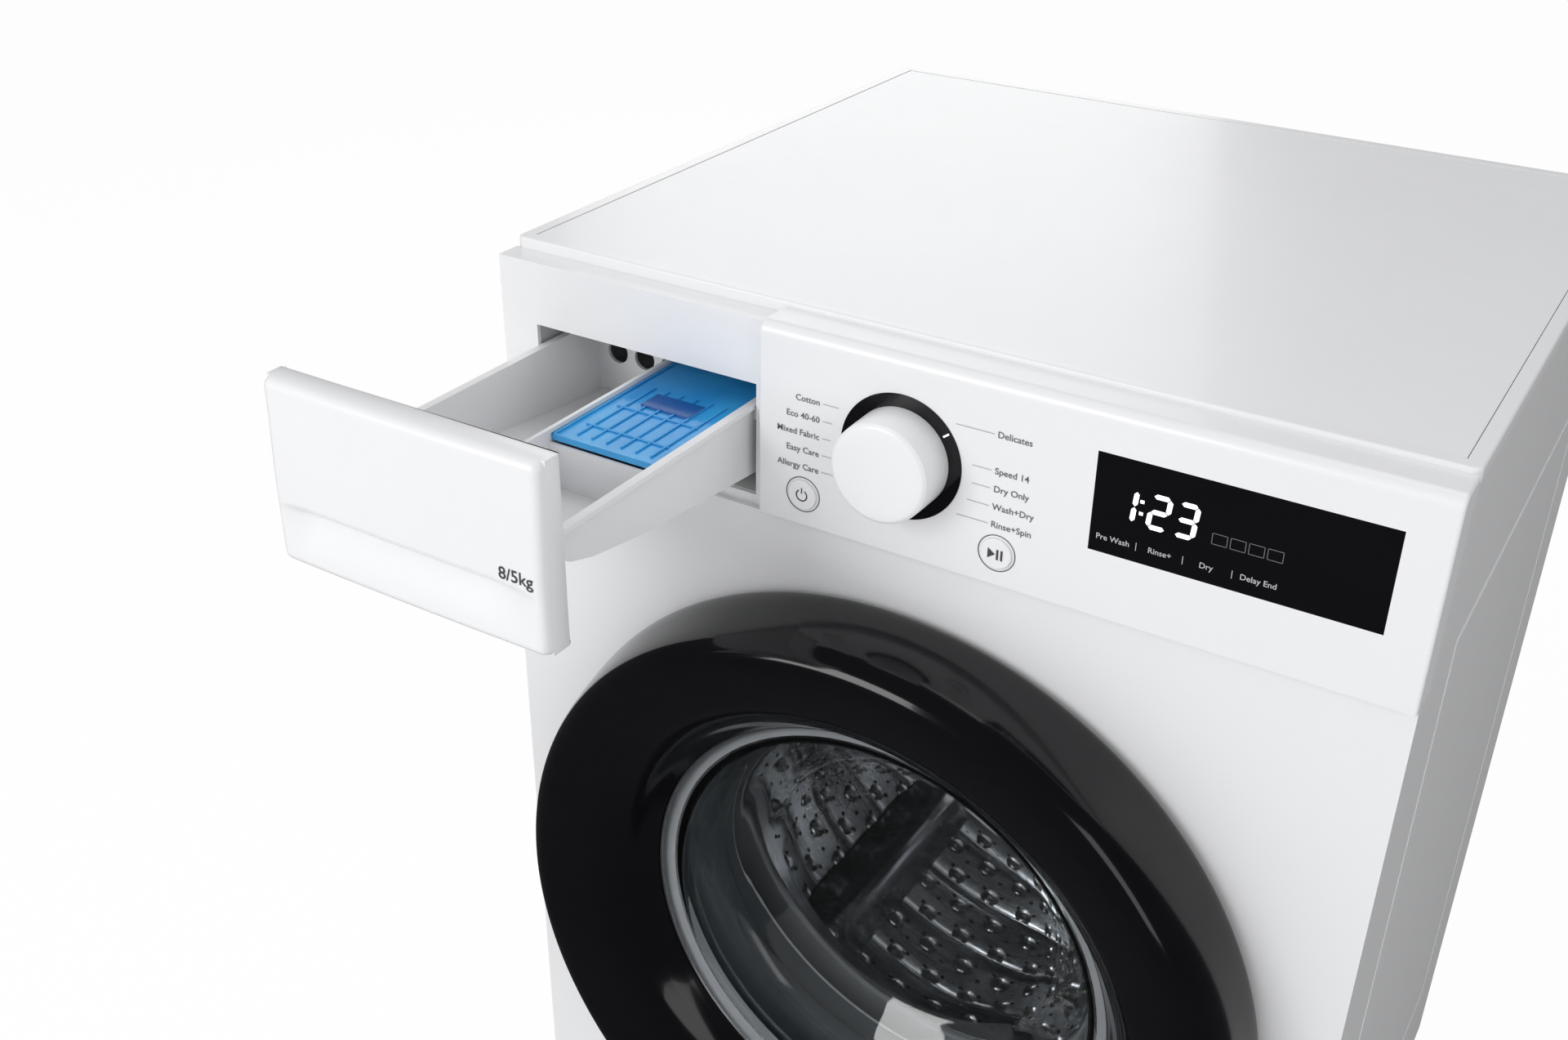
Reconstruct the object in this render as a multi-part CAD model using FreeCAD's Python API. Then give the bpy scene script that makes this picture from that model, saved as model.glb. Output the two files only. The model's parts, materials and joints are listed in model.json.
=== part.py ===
"""Front load washing machine, built from separate pieces.

Machine frame, millimetres: X right, Y towards the back, Z up, feet on Z = 0. Y = 0 is the front
plane of the control panel. save() moves everything back by ROW_SHIFT_Y, so that the middle of
the whole machine, open drawer included, lies at Y = 0.
"""
import FreeCAD
import Part
import math
import os

V = FreeCAD.Vector

# ---- driving dimensions -------------------------------------------------------------------
WIDTH = 600.0
HEIGHT = 850.0
DEPTH = 556.0            # control panel front to back of the top plate
SHEET = 1.2              # steel sheet of the casing
SEAT = 0.2               # between pieces that are fixed to each other on a curved face
GAP = 0.4                # between neighbouring pieces that move past each other
SLIDE_GAP = 0.5          # between the drawer and its housing
RUN = 0.05               # radial clearance of a shaft in its hole
FOOT_HEIGHT = 22.0
TOP_THICK = 8.0
TOP_FRONT_Y = 28.0
TOP_RIM = 9.0
PANEL_BOTTOM = 722.0     # lower edge of the control panel
PANEL_TOP = 847.0
PANEL_LEFT = -96.0
PANEL_WALL = 3.0
FACE_Y = 6.0             # outer face of the lower front panel
SURROUND_Y = 10.0        # face of the drawer surround
SEAM = 3.0

DOOR_Z = 420.0
DOOR_BASE_R = 262.0
DOOR_FRONT_R = 247.0
DOOR_PROUD = 60.0
DOOR_MOUTH_R = 178.0
GLASS_RIM_R = 172.0
GLASS_R = 160.0
GLASS_WALL = 5.0
GLASS_DEEP = 80.0
MOUTH_R = 186.0          # hole in the front panel
DOOR_GAP = 3.0

DRUM_R = 235.0
DRUM_FRONT_Y = 105.0
DRUM_BACK_Y = 405.0
DRUM_WALL = 1.5
DRUM_MOUTH_R = 165.0
TUB_GAP = 14.0
TUB_WALL = 4.0
SHAFT_R = 15.0
LIFTER_COUNT = 3
LIFTER_HIGH = 45.0
TUB_TRAVEL = 6.0

KNOB_Z = 785.5
KNOB_R = 31.0
KNOB_PROUD = 28.0
RING_R = 39.0
BUTTON_X = 64.0
BUTTON_Z = 742.5
BUTTON_R = 9.6
BUTTON_TRAVEL = 1.2
DISPLAY = (117.0, 276.0, 762.5, 822.0)   # left, right, bottom, top

DRAWER_OPEN = 187.0
DRAWER_LEFT = -296.0
DRAWER_TOP = 836.0
DRAWER_BOTTOM = 721.0
DRAWER_THICK = 22.0
BOX_LEFT = -268.0
BOX_RIGHT = -108.0
BOX_TOP = 787.0
BOX_BOTTOM = 730.0
BOX_DEEP = 245.0
BOX_WALL = 2.5

FRONT_MOST = SURROUND_Y - SLIDE_GAP - DRAWER_THICK - DRAWER_OPEN
BACK_MOST = DEPTH + 12.0
ROW_SHIFT_Y = -(FRONT_MOST + BACK_MOST) / 2
HALF = WIDTH / 2
WALL_TOP = HEIGHT - TOP_THICK


# ---- helpers ------------------------------------------------------------------------------
def box(x0, x1, y0, y1, z0, z1):
    return Part.makeBox(x1 - x0, y1 - y0, z1 - z0, V(x0, y0, z0))


def tube_y(x, z, y0, y1, r, r_in=0.0):
    """Round bar or ring along Y."""
    shape = Part.makeCylinder(r, y1 - y0, V(x, y0, z), V(0, 1, 0))
    if r_in:
        shape = shape.cut(Part.makeCylinder(r_in, y1 - y0 + 2, V(x, y0 - 1, z), V(0, 1, 0)))
    return shape


def tube_z(x, y, z0, z1, r, r_in=0.0):
    """Round bar or ring along Z."""
    shape = Part.makeCylinder(r, z1 - z0, V(x, y, z0))
    if r_in:
        shape = shape.cut(Part.makeCylinder(r_in, z1 - z0 + 2, V(x, y, z0 - 1)))
    return shape


def turned(points, x=0.0, z=DOOR_Z):
    """Closed outline of (radius, y) points, turned about the Y axis through (x, z)."""
    corners = [V(x + r, y, z) for r, y in points]
    face = Part.Face(Part.makePolygon(corners + corners[:1]))
    solid = face.revolve(V(x, 0, z), V(0, 1, 0), 360)
    if solid.Volume < 0:
        solid.reverse()
    return solid


def prism_x(points, x0, x1):
    """Closed outline of (y, z) points, pushed along X."""
    corners = [V(x0, y, z) for y, z in points]
    return Part.Face(Part.makePolygon(corners + corners[:1])).extrude(V(x1 - x0, 0, 0))


def rounded(shape, radius, test):
    """Fillet the edges whose middle point passes the test."""
    edges = [e for e in shape.Edges if test(e.CenterOfMass)]
    return shape.makeFillet(radius, edges) if edges else shape


def fuse(*shapes):
    result = shapes[0].fuse(list(shapes[1:]))
    return result.removeSplitter()


def hose(points, r, r_in):
    """Tube along straight runs joined by tangent arcs."""
    runs = [points[i + 1] - points[i] for i in range(len(points) - 1)]
    edges, start = [], points[0]
    for i in range(1, len(points) - 1):
        a, b = V(runs[i - 1]).normalize(), V(runs[i]).normalize()
        turn = a.getAngle(b)
        cut = 0.45 * min(runs[i - 1].Length, runs[i].Length)
        p, q = points[i] - a * cut, points[i] + b * cut
        middle_way = (b - a).normalize()
        radius = cut / math.tan(turn / 2)
        centre = points[i] + middle_way * math.hypot(cut, radius)
        edges.append(Part.LineSegment(start, p).toShape())
        edges.append(Part.Arc(p, centre - middle_way * radius, q).toShape())
        start = q
    edges.append(Part.LineSegment(start, points[-1]).toShape())
    path = Part.Wire(edges)
    first = V(runs[0]).normalize()
    outer = path.makePipeShell([Part.Wire(Part.makeCircle(r, points[0], first))], True, False)
    inner = path.makePipeShell([Part.Wire(Part.makeCircle(r_in, points[0], first))], True, False)
    return outer.cut(inner)


def save(name, *shapes):
    """Write one node: its solids, moved into the row's frame."""
    whole = shapes[0] if len(shapes) == 1 else Part.makeCompound(list(shapes))
    solids = whole.Solids
    moved = [s.translated(V(0, ROW_SHIFT_Y, 0)) for s in solids]
    out = moved[0] if len(moved) == 1 else Part.makeCompound(moved)
    out.exportStep(os.path.join("parts", name + ".step"))
    volume = sum(s.Volume for s in solids) / 1000
    print(f"{name}: {len(solids)} solid(s), {volume:.1f} cm3, valid {out.isValid()}")


os.makedirs("parts", exist_ok=True)

# ---- places shared by several pieces ------------------------------------------------------
BASE_Z = FOOT_HEIGHT
FRONT_TOP = PANEL_BOTTOM - SEAM
SHEET_IN = FACE_Y + SHEET
REAR_IN = DEPTH - SHEET
FOOT_X, FOOT_FRONT_Y, FOOT_REAR_Y = HALF - 50, 55.0, DEPTH - 55
STUD_R = 6.0
FLAP = (-250.0, -150.0, 60.0, 150.0)     # left, right, bottom, top of the service opening
FLAP_PIN_R = 2.0
FLAP_PIN = (FACE_Y + 5.0, FLAP[2] + 8.0)   # y, z
PUMP_X, PUMP_Z = (FLAP[0] + FLAP[1]) / 2, (FLAP[2] + FLAP[3]) / 2
INLET = (200.0, 775.0)
SPIGOT = (-225.0, 720.0)
GLAND = (235.0, 700.0)
INLET_R, SPIGOT_R, GLAND_R = 13.2, 11.0, 7.0
TRANSIT = (190.0, 130.0, 17.0)           # half spacing x, half spacing z, hole radius
COVER_R = 150.0
OPENING = (BOX_LEFT - 4, BOX_RIGHT + 4, BOX_BOTTOM - 4, 801.0)
TUB_R = DRUM_R + TUB_GAP
TUB_OUT = TUB_R + TUB_WALL
TUB_FRONT_Y = DRUM_FRONT_Y - 16
TUB_SPLIT_Y = 235.0
TUB_BACK_Y = DRUM_BACK_Y + 22
HANGER_X, HANGER_Y = TUB_OUT - 28, 312.0
SPRING_TOP, SPRING_LOW = WALL_TOP - 34, DOOR_Z + 172
DAMPER_X, DAMPER_Z = TUB_OUT - 78, DOOR_Z - TUB_OUT + 48


# ---- casing -------------------------------------------------------------------------------
def side_panel(side):
    """One folded steel side with front and rear returns and a pressed stiffening groove."""
    outer, lip = HALF, HALF - 20
    sheet = box(outer - SHEET, outer, SHEET_IN, REAR_IN, BASE_Z, WALL_TOP)
    front = box(lip, outer - SHEET, SHEET_IN, SHEET_IN + SHEET, BASE_Z, FRONT_TOP - 20)
    rear = box(lip, outer - SHEET, REAR_IN - SHEET, REAR_IN, BASE_Z, WALL_TOP)
    notch = box(lip, outer + 1, 0, TOP_FRONT_Y, FRONT_TOP, HEIGHT)
    field = box(outer - 0.5, outer + 1, 90, 480, 130, 720)
    inner = box(outer - 2, outer + 2, 96, 474, 136, 714)
    panel = fuse(sheet, front, rear).cut(notch).cut(field.cut(inner))
    return panel if side > 0 else panel.mirror(V(0, 0, 0), V(1, 0, 0))


def front_panel():
    plate = box(-HALF, HALF, FACE_Y, SHEET_IN, BASE_Z, FRONT_TOP)
    top_lip = box(-HALF + 22, HALF - 22, SHEET_IN, 20, FRONT_TOP - SHEET, FRONT_TOP)
    plate = fuse(plate, top_lip)
    collar = tube_y(0, DOOR_Z, SHEET_IN - 0.1, SHEET_IN + 12, MOUTH_R + SHEET, MOUTH_R)
    plate = fuse(plate.cut(tube_y(0, DOOR_Z, 0, 10, MOUTH_R)), collar)
    plate = plate.cut(box(FLAP[0], FLAP[1], 0, 30, FLAP[2], FLAP[3])).fuse(service_frame()).removeSplitter()
    return plate.cut(box(LOCK_X - 5, LOCK_X + 5, 0, 30, LOCK_Z - 16, LOCK_Z + 16))


def hollow_moulding(x0, x1, y0, y1, z0, z1, wall):
    return box(x0, x1, y0, y1, z0, z1).cut(
        box(x0 + wall, x1 - wall, y0 + wall, y1 + 1, z0 + wall, z1 - wall))


def control_panel():
    shell = box(PANEL_LEFT, HALF, 0, TOP_FRONT_Y, PANEL_BOTTOM, PANEL_TOP)
    shell = rounded(shell, 7.0, lambda c: abs(c.y) < 0.01 and abs(c.z - PANEL_TOP) < 0.01)
    shell = rounded(shell, 2.0, lambda c: c.y < 8 and (abs(c.x) > HALF - 0.1 or c.x < PANEL_LEFT + 0.1))
    shell = shell.cut(box(PANEL_LEFT + PANEL_WALL, HALF - PANEL_WALL, PANEL_WALL, TOP_FRONT_Y + 1,
                          PANEL_BOTTOM + PANEL_WALL, PANEL_TOP - 7))
    x0, x1, z0, z1 = DISPLAY
    shell = shell.cut(box(x0, x1, -1, 1.5, z0, z1))
    shell = shell.cut(box(x0 + 4, x1 - 4, -1, 10, z0 + 4, z1 - 4))
    shell = shell.cut(tube_y(0, KNOB_Z, -1, 1.0, RING_R))
    shell = shell.cut(tube_y(0, KNOB_Z, -1, 10, 8.0 + RUN))
    for x in (-BUTTON_X, BUTTON_X):
        shell = shell.cut(tube_y(x, BUTTON_Z, -1, 10, BUTTON_R + RUN))
    return shell


def drawer_surround():
    shell = hollow_moulding(-HALF, PANEL_LEFT, SURROUND_Y, TOP_FRONT_Y, FRONT_TOP, WALL_TOP + 1, PANEL_WALL)
    return shell.cut(box(OPENING[0], OPENING[1], 0, 40, OPENING[2], OPENING[3]))


def top_parts():
    full = box(-HALF, HALF, TOP_FRONT_Y, DEPTH, WALL_TOP, HEIGHT)
    full = rounded(full, 5.0, lambda c: abs(c.z - WALL_TOP - TOP_THICK / 2) < 0.1)
    full = rounded(full, 1.5, lambda c: c.z > HEIGHT - 0.1)
    inner = box(-HALF + TOP_RIM, HALF - TOP_RIM, TOP_FRONT_Y + TOP_RIM, DEPTH - TOP_RIM, 0, HEIGHT + 9)
    board = box(-HALF + TOP_RIM + 0.6, HALF - TOP_RIM - 0.6, TOP_FRONT_Y + TOP_RIM + 0.6,
                DEPTH - TOP_RIM - 0.6, WALL_TOP, HEIGHT - 0.4)
    return full.cut(inner), board


def cross_brace(y0, y1):
    """Channel across the casing under the top board."""
    bar = box(-HALF + SHEET, HALF - SHEET, y0, y1, WALL_TOP - 24, WALL_TOP)
    return bar.cut(box(-HALF, HALF, y0 + 2, y1 - 2, WALL_TOP - 30, WALL_TOP - 2))


def rear_panel():
    plate = box(-HALF, HALF, REAR_IN, DEPTH, BASE_Z, WALL_TOP)
    plate = plate.cut(tube_y(0, DOOR_Z, REAR_IN - 1, DEPTH + 1, COVER_R - 12))
    for (x, z), r in ((INLET, INLET_R + 3), (SPIGOT, SPIGOT_R + 1.5), (GLAND, GLAND_R + 2)):
        plate = plate.cut(tube_y(x, z, REAR_IN - 1, DEPTH + 1, r))
    for x in (-TRANSIT[0], TRANSIT[0]):
        for z in (DOOR_Z - TRANSIT[1], DOOR_Z + TRANSIT[1]):
            plate = plate.cut(tube_y(x, z, REAR_IN - 1, DEPTH + 1, TRANSIT[2]))
    for z in (700.0, 712.0, 724.0, 736.0):
        plate = plate.cut(box(-60, 60, REAR_IN - 1, DEPTH + 1, z, z + 4))
    return plate


def rear_cover():
    """Pressed dish over the motor, screwed to the rear panel."""
    y, proud, t = DEPTH, BACK_MOST - DEPTH, 1.5
    return turned([(0, y + proud - t), (COVER_R - 22 - t, y + proud - t), (COVER_R - 14 - t, y),
                   (COVER_R, y), (COVER_R, y + t), (COVER_R - 13, y + t), (COVER_R - 21, y + proud),
                   (0, y + proud)])


def base_pan():
    y0, y1, x = SHEET_IN + SHEET + 0.6, REAR_IN - SHEET - 0.6, HALF - SHEET
    pan = box(-x, x, y0, y1, BASE_Z, BASE_Z + 28)
    pan = pan.cut(box(-x + 3, x - 3, y0 + 3, y1 - 3, BASE_Z + 3, BASE_Z + 40))
    for sx in (-1, 1):
        for fy in (FOOT_FRONT_Y, FOOT_REAR_Y):
            pan = pan.fuse(tube_z(sx * FOOT_X, fy, BASE_Z, BASE_Z + 24, 16))
            pan = pan.cut(tube_z(sx * FOOT_X, fy, BASE_Z - 1, BASE_Z + 30, STUD_R + RUN))
        pan = pan.fuse(box(sx * DAMPER_X - 18, sx * DAMPER_X + 18, HANGER_Y - 18, HANGER_Y + 18,
                           BASE_Z + 2, BASE_Z + 12))
    return pan.removeSplitter()


def foot(x, y):
    pad = tube_z(x, y, 0, 9, 22)
    pad = rounded(pad, 3.0, lambda c: c.z < 0.1)
    hexagon = Part.Face(Part.makePolygon([V(x + 11 * math.cos(a), y + 11 * math.sin(a), 9) for a in
                                          [math.pi / 3 * i for i in range(7)]])).extrude(V(0, 0, 6))
    return fuse(pad, hexagon, tube_z(x, y, 14, BASE_Z + 34, STUD_R))


def foot_locknut(x, y):
    nut = Part.Face(Part.makePolygon([V(x + 10 * math.cos(a), y + 10 * math.sin(a), BASE_Z - 5) for a in
                                      [math.pi / 3 * i for i in range(7)]])).extrude(V(0, 0, 5))
    return nut.cut(tube_z(x, y, BASE_Z - 6, BASE_Z + 1, STUD_R + RUN))


def service_frame():
    """Formed edge of the service opening, with the two holes for the flap's pins."""
    x0, x1, z0, z1 = FLAP
    frame = box(x0 - 0.1, x1 + 0.1, FACE_Y, FACE_Y + 14, z0 - 0.1, z1 + 0.1)
    frame = frame.cut(box(x0 + 3, x1 - 3, 0, 40, z0 + 1, z1 - 3))
    return frame.cut(Part.makeCylinder(FLAP_PIN_R + RUN, x1 - x0 - 3, V(x0 + 1.5, *FLAP_PIN), V(1, 0, 0)))


def service_flap():
    x0, x1, z0, z1 = FLAP[0] + 3 + GAP, FLAP[1] - 3 - GAP, FLAP[2] + 3 + GAP, FLAP[3] - 3 - GAP
    y, z = FLAP_PIN
    plate = box(x0, x1, FACE_Y, FACE_Y + 2.5, z0, z1)
    ears = [box(x, x + 4, FACE_Y + 1, y, z - 3, z + 3) for x in (x0, x1 - 4)]
    knuckles = [Part.makeCylinder(3.5, 4, V(x, y, z), V(1, 0, 0)) for x in (x0, x1 - 4)]
    pin = Part.makeCylinder(FLAP_PIN_R, x1 - x0 + 3, V(x0 - 1.5, y, z), V(1, 0, 0))
    return fuse(plate, pin, *ears, *knuckles)


# ---- controls -----------------------------------------------------------------------------
STOP_Y = -KNOB_PROUD


def program_knob():
    body = tube_y(0, KNOB_Z, STOP_Y, -0.6, KNOB_R)
    body = rounded(body, 3.0, lambda c: c.y < STOP_Y + 0.1)
    body = body.cut(tube_y(0, KNOB_Z, STOP_Y + 3, 0, KNOB_R - 3))
    return fuse(body, tube_y(0, KNOB_Z, STOP_Y + 2, 12, 8.0))


def button(x):
    head = tube_y(x, BUTTON_Z, -1.6, PANEL_WALL + 2, BUTTON_R)
    head = rounded(head, 0.8, lambda c: c.y < -1.5)
    return fuse(head, tube_y(x, BUTTON_Z, PANEL_WALL + 1.8, 12, 3.0))


def display_window():
    x0, x1, z0, z1 = DISPLAY
    return box(x0, x1, 0, 1.5, z0, z1)


def control_board():
    """Carrier moulding and board behind the control panel, bored for the knob and both buttons."""
    x0, x1 = PANEL_LEFT + PANEL_WALL, HALF - PANEL_WALL - 4
    board = box(x0, x1, 14, 17, PANEL_BOTTOM + 6, PANEL_TOP - 16)
    case = box(DISPLAY[0] + 6, DISPLAY[1] - 6, 2.6, 14, DISPLAY[2] + 6, DISPLAY[3] - 6)
    return fuse(board, case, tube_y(0, KNOB_Z, 12.2, 14.2, 14))


# ---- detergent drawer ---------------------------------------------------------------------
DRAWER_RIGHT = PANEL_LEFT - 4
FRONT_BACK_Y = SURROUND_Y - SLIDE_GAP - DRAWER_OPEN      # back face of the open drawer front
RIM_WIDE, RIM_HIGH = 3.0, 3.0
MID_WALL_X = -188.0
CELL_DEEP = 92.0
HOUSING_WALL = 2.5
HOUSING_LEFT, HOUSING_RIGHT = BOX_LEFT - 8, BOX_RIGHT + 8
HOUSING_TOP, HOUSING_BOTTOM = BOX_TOP + 20, BOX_BOTTOM - 6
HOUSING_BACK = SURROUND_Y + PANEL_WALL + BOX_DEEP + 14


def drawer_front():
    """Grip moulding: thicker towards the bottom, with a hollow under a ledge for the fingers."""
    y = FRONT_BACK_Y
    z0, z1 = DRAWER_BOTTOM, DRAWER_TOP
    front = prism_x([(y, z0), (y, z1), (y - DRAWER_THICK + 4, z1), (y - DRAWER_THICK + 0.5, z1 - 4),
                     (y - DRAWER_THICK, z0 + 40), (y - DRAWER_THICK, z0 + 4), (y - DRAWER_THICK + 4, z0)],
                    DRAWER_LEFT, DRAWER_RIGHT)
    scoop = prism_x([(y - 40, z0 + 36), (y - DRAWER_THICK + 9, z0 + 36), (y - DRAWER_THICK + 7, z0 + 22),
                     (y - DRAWER_THICK, z0 + 5), (y - 40, z0 + 5)], DRAWER_LEFT + 14, DRAWER_RIGHT - 30)
    front = rounded(front, 3.0, lambda c: c.y < y - 8 and (c.x < DRAWER_LEFT + 0.1 or c.x > DRAWER_RIGHT - 0.1))
    return front.cut(scoop)


def boat(x0, x1, y0, y1, top, lift):
    """Drawer side view, shallow at the front and deeper at the back, pushed along X."""
    fall = [(0.0, 41.0), (0.05, 33.0), (0.13, 27.0), (0.3, 20.0), (0.54, 14.0), (0.84, 7.0), (1.0, 5.0)]
    low = [(y0 + s * (y1 - y0), BOX_BOTTOM + h + lift) for s, h in fall]
    return prism_x(low + [(y1, top), (y0, top)], x0, x1)


def drawer_body():
    y0, y1, w = FRONT_BACK_Y, FRONT_BACK_Y + BOX_DEEP, BOX_WALL
    body = boat(BOX_LEFT, BOX_RIGHT, y0, y1, BOX_TOP, 0)
    rims = box(BOX_LEFT - RIM_WIDE, BOX_RIGHT + RIM_WIDE, y0, y1, BOX_TOP - RIM_HIGH, BOX_TOP)
    body = body.fuse(rims)
    half = w / 2
    body = body.cut(boat(BOX_LEFT + w, MID_WALL_X - half, y0 + w, y1 - w, BOX_TOP + 9, w))
    cell = boat(MID_WALL_X + half, BOX_RIGHT - w, y0 + w, y1 - w, BOX_TOP + 9, w)
    divider = box(MID_WALL_X, BOX_RIGHT, y0 + CELL_DEEP, y0 + CELL_DEEP + w, BOX_BOTTOM, BOX_TOP - 8)
    body = body.cut(cell.cut(divider))
    for x in (BOX_LEFT + 18, BOX_LEFT + 40, BOX_LEFT + 62):
        body = body.cut(tube_y(x, BOX_TOP - 20, y1 - w - 1, y1 + 1, 8))
    return body


def softener_cap():
    """Siphon lid resting on the walls of the softener cell."""
    y0 = FRONT_BACK_Y + CELL_DEEP + BOX_WALL + 0.4
    y1 = FRONT_BACK_Y + BOX_DEEP - BOX_WALL - 12
    x0, x1 = MID_WALL_X + BOX_WALL / 2 + 0.4, BOX_RIGHT - BOX_WALL - 0.4
    z = BOX_TOP - 4
    lid = box(x0, x1, y0, y1, z - 3, z)
    lid = lid.fuse([box(x0 + 10 + 12 * i, x0 + 12 + 12 * i, y0 + 4, y1 - 50, z - 0.5, z + 1.2) for i in range(4)])
    well = box(x0 + 18, x1 - 18, y1 - 40, y1 - 12, z - 22, z - 2)
    well_hole = box(x0 + 20, x1 - 20, y1 - 38, y1 - 14, z - 20, z + 4)
    return lid.fuse(well).cut(well_hole).removeSplitter()


def dispenser_housing():
    y0, y1, w = SURROUND_Y + PANEL_WALL, HOUSING_BACK, HOUSING_WALL
    case = box(HOUSING_LEFT, HOUSING_RIGHT, y0, y1, HOUSING_BOTTOM, HOUSING_TOP)
    case = case.cut(box(HOUSING_LEFT + w, HOUSING_RIGHT - w, y0 - 1, y1 - w, HOUSING_BOTTOM + w, HOUSING_TOP - w))
    rail_top = BOX_TOP - RIM_HIGH - SLIDE_GAP
    for x0, x1 in ((HOUSING_LEFT + 1, BOX_LEFT - SLIDE_GAP), (BOX_RIGHT + SLIDE_GAP, HOUSING_RIGHT - 1)):
        case = case.fuse(box(x0, x1, y0, y1 - 1, rail_top - 8, rail_top))
    port = tube_y(FILL[0].x, FILL[0].z, y1 - 1, y1 + 14, 9)
    case = case.fuse(port).cut(tube_y(FILL[0].x, FILL[0].z, y1 - 5, y1 + 15, 7))
    outlet = tube_z(OUTLET_X, OUTLET_Y, HOUSING_BOTTOM - 16, HOUSING_BOTTOM + 1, 14)
    case = case.fuse(outlet).cut(tube_z(OUTLET_X, OUTLET_Y, HOUSING_BOTTOM - 17, HOUSING_BOTTOM + 4, 11.5))
    return case.removeSplitter()


OUTLET_X, OUTLET_Y = -190.0, 200.0
BELLOWS_R = 17.0
BELLOWS_Z = DOOR_Z + math.sqrt(TUB_OUT ** 2 - (-OUTLET_X - BELLOWS_R) ** 2) + 2.3
FILL = [V(-190, HOUSING_BACK + 14, 790), V(-190, 330, 790), V(-120, 400, 786), V(60, 430, 780),
        V(INLET[0], 440, INLET[1]), V(INLET[0], DEPTH - 52, INLET[1])]


def inlet_valve():
    x, z = INLET
    body = box(x - 20, x + 20, DEPTH - 40, REAR_IN, z - 20, z + 20)
    coil = tube_z(x, DEPTH - 26, z + 19, z + 44, 12)
    thread = tube_y(x, z, REAR_IN - 1, BACK_MOST, INLET_R)
    port = tube_y(x, z, DEPTH - 52, DEPTH - 39, 9)
    bore = tube_y(x, z, DEPTH - 10, BACK_MOST + 1, 9)
    return fuse(body, coil, thread, port).cut(bore).cut(tube_y(x, z, DEPTH - 53, DEPTH - 45, 7))


# ---- door ---------------------------------------------------------------------------------
RING_BACK_Y = FACE_Y - DOOR_GAP
RING_FRONT_Y = FACE_Y - DOOR_PROUD - 4
HINGE_X, HINGE_Y = -DOOR_BASE_R + 13.5, RING_BACK_Y - 31
HINGE_PIN_R = 3.0
HINGE_HALF = 20.0
KNUCKLE_R = 4.5
RING_WALL = 3.5
GLASS_Y = RING_FRONT_Y + 48
HOOK_THICK = 4.0


def door_ring():
    """Broad dished ring. Its side leans in towards the front and its face falls to the glass."""
    y, f = RING_BACK_Y, RING_FRONT_Y
    w, b, r, g, s = RING_WALL, DOOR_BASE_R, DOOR_FRONT_R, GLASS_RIM_R, GLASS_Y
    ring = turned([(b - 3, y), (b, y - 5), (b - 1, y - 23), (r + 7, f + 12), (r + 1, f + 3), (r - 7, f),
                   (r - 17, f + 0.5), (r - 47, f + 10), (g + 8, s - 13), (g, s - 3.5), (g, s),
                   (g + 8, s - 8.5), (r - 47, f + 14.2), (r - 17, f + 4.5), (r - 8, f + 4.2),
                   (r - 1.5, f + 7), (r + 3.5, f + 14), (b - 1 - w, y - 23), (b - w, y - 5), (b - w - 1, y)])
    slot = box(-DOOR_BASE_R - 1, HINGE_X + 6, HINGE_Y - 12, y + 1, DOOR_Z - 9, DOOR_Z + 9)
    return ring.cut(slot)


def door_back_frame():
    y, w = RING_BACK_Y, RING_WALL
    rim = DOOR_BASE_R - w - 1.2
    glass_back = GLASS_Y + GLASS_WALL
    plate = turned([(GLASS_R + 2, y), (rim, y), (rim, y - 3), (GLASS_RIM_R + 1, y - 3),
                    (GLASS_RIM_R + 1, glass_back + 0.3), (GLASS_R + 2, glass_back + 0.3)])
    plate = plate.cut(box(-DOOR_BASE_R, HINGE_X + 9, -60, y + 1, DOOR_Z - HINGE_HALF - 1, DOOR_Z + HINGE_HALF + 1))
    plate = plate.cut(box(HINGE_X + 8, -GLASS_RIM_R - 4, -60, y + 1, DOOR_Z - 12, DOOR_Z + 12))
    return plate.cut(box(LOCK_X - 5, LOCK_X + 5, -60, y + 1, LOCK_Z - 14, LOCK_Z + 14))


def door_glass():
    """Clear bowl with a flat rim, that fills the drum mouth, with a rounded edge to its floor."""
    y, t, r = GLASS_Y, GLASS_WALL, GLASS_R
    end = y + GLASS_DEEP
    return turned([(0, end), (r - 62, end), (r - 46, end - 4), (r - 36, end - 14), (r - 10, y + 44), (r, y + t + 6),
                   (r + 1, y + t), (GLASS_RIM_R, y + t), (GLASS_RIM_R, y + 0.4), (r - 4, y + 0.4),
                   (r - t, y + 6), (r - 10 - t, y + 43), (r - 36 - t, end - 17), (r - 49, end - 4 - t),
                   (r - 63, end - t), (0, end - t)])


def door_hinge_arm():
    """Steel arm fixed to the back frame, with two knuckles on the hinge pin."""
    y = RING_BACK_Y
    plate = box(HINGE_X - 5, HINGE_X + 8.6, y - 6, y - 3.2, DOOR_Z - HINGE_HALF, DOOR_Z + HINGE_HALF)
    strap = box(HINGE_X + 8, HINGE_X + 34, y - 6, y - 3.2, DOOR_Z - HINGE_HALF, DOOR_Z + HINGE_HALF)
    arm = fuse(plate, strap).cut(box(HINGE_X - 9, HINGE_X + 12, y - 9, y + 1, DOOR_Z - 9.5, DOOR_Z + 9.5))
    for z0, z1 in ((DOOR_Z - HINGE_HALF, DOOR_Z - 9.5), (DOOR_Z + 9.5, DOOR_Z + HINGE_HALF)):
        web = box(HINGE_X - 5, HINGE_X + 5, HINGE_Y, y - 4, z0, z1)
        arm = arm.fuse([web, tube_z(HINGE_X, HINGE_Y, z0, z1, KNUCKLE_R)])
    return arm.cut(tube_z(HINGE_X, HINGE_Y, DOOR_Z - 40, DOOR_Z + 40, HINGE_PIN_R + RUN)).removeSplitter()


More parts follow.
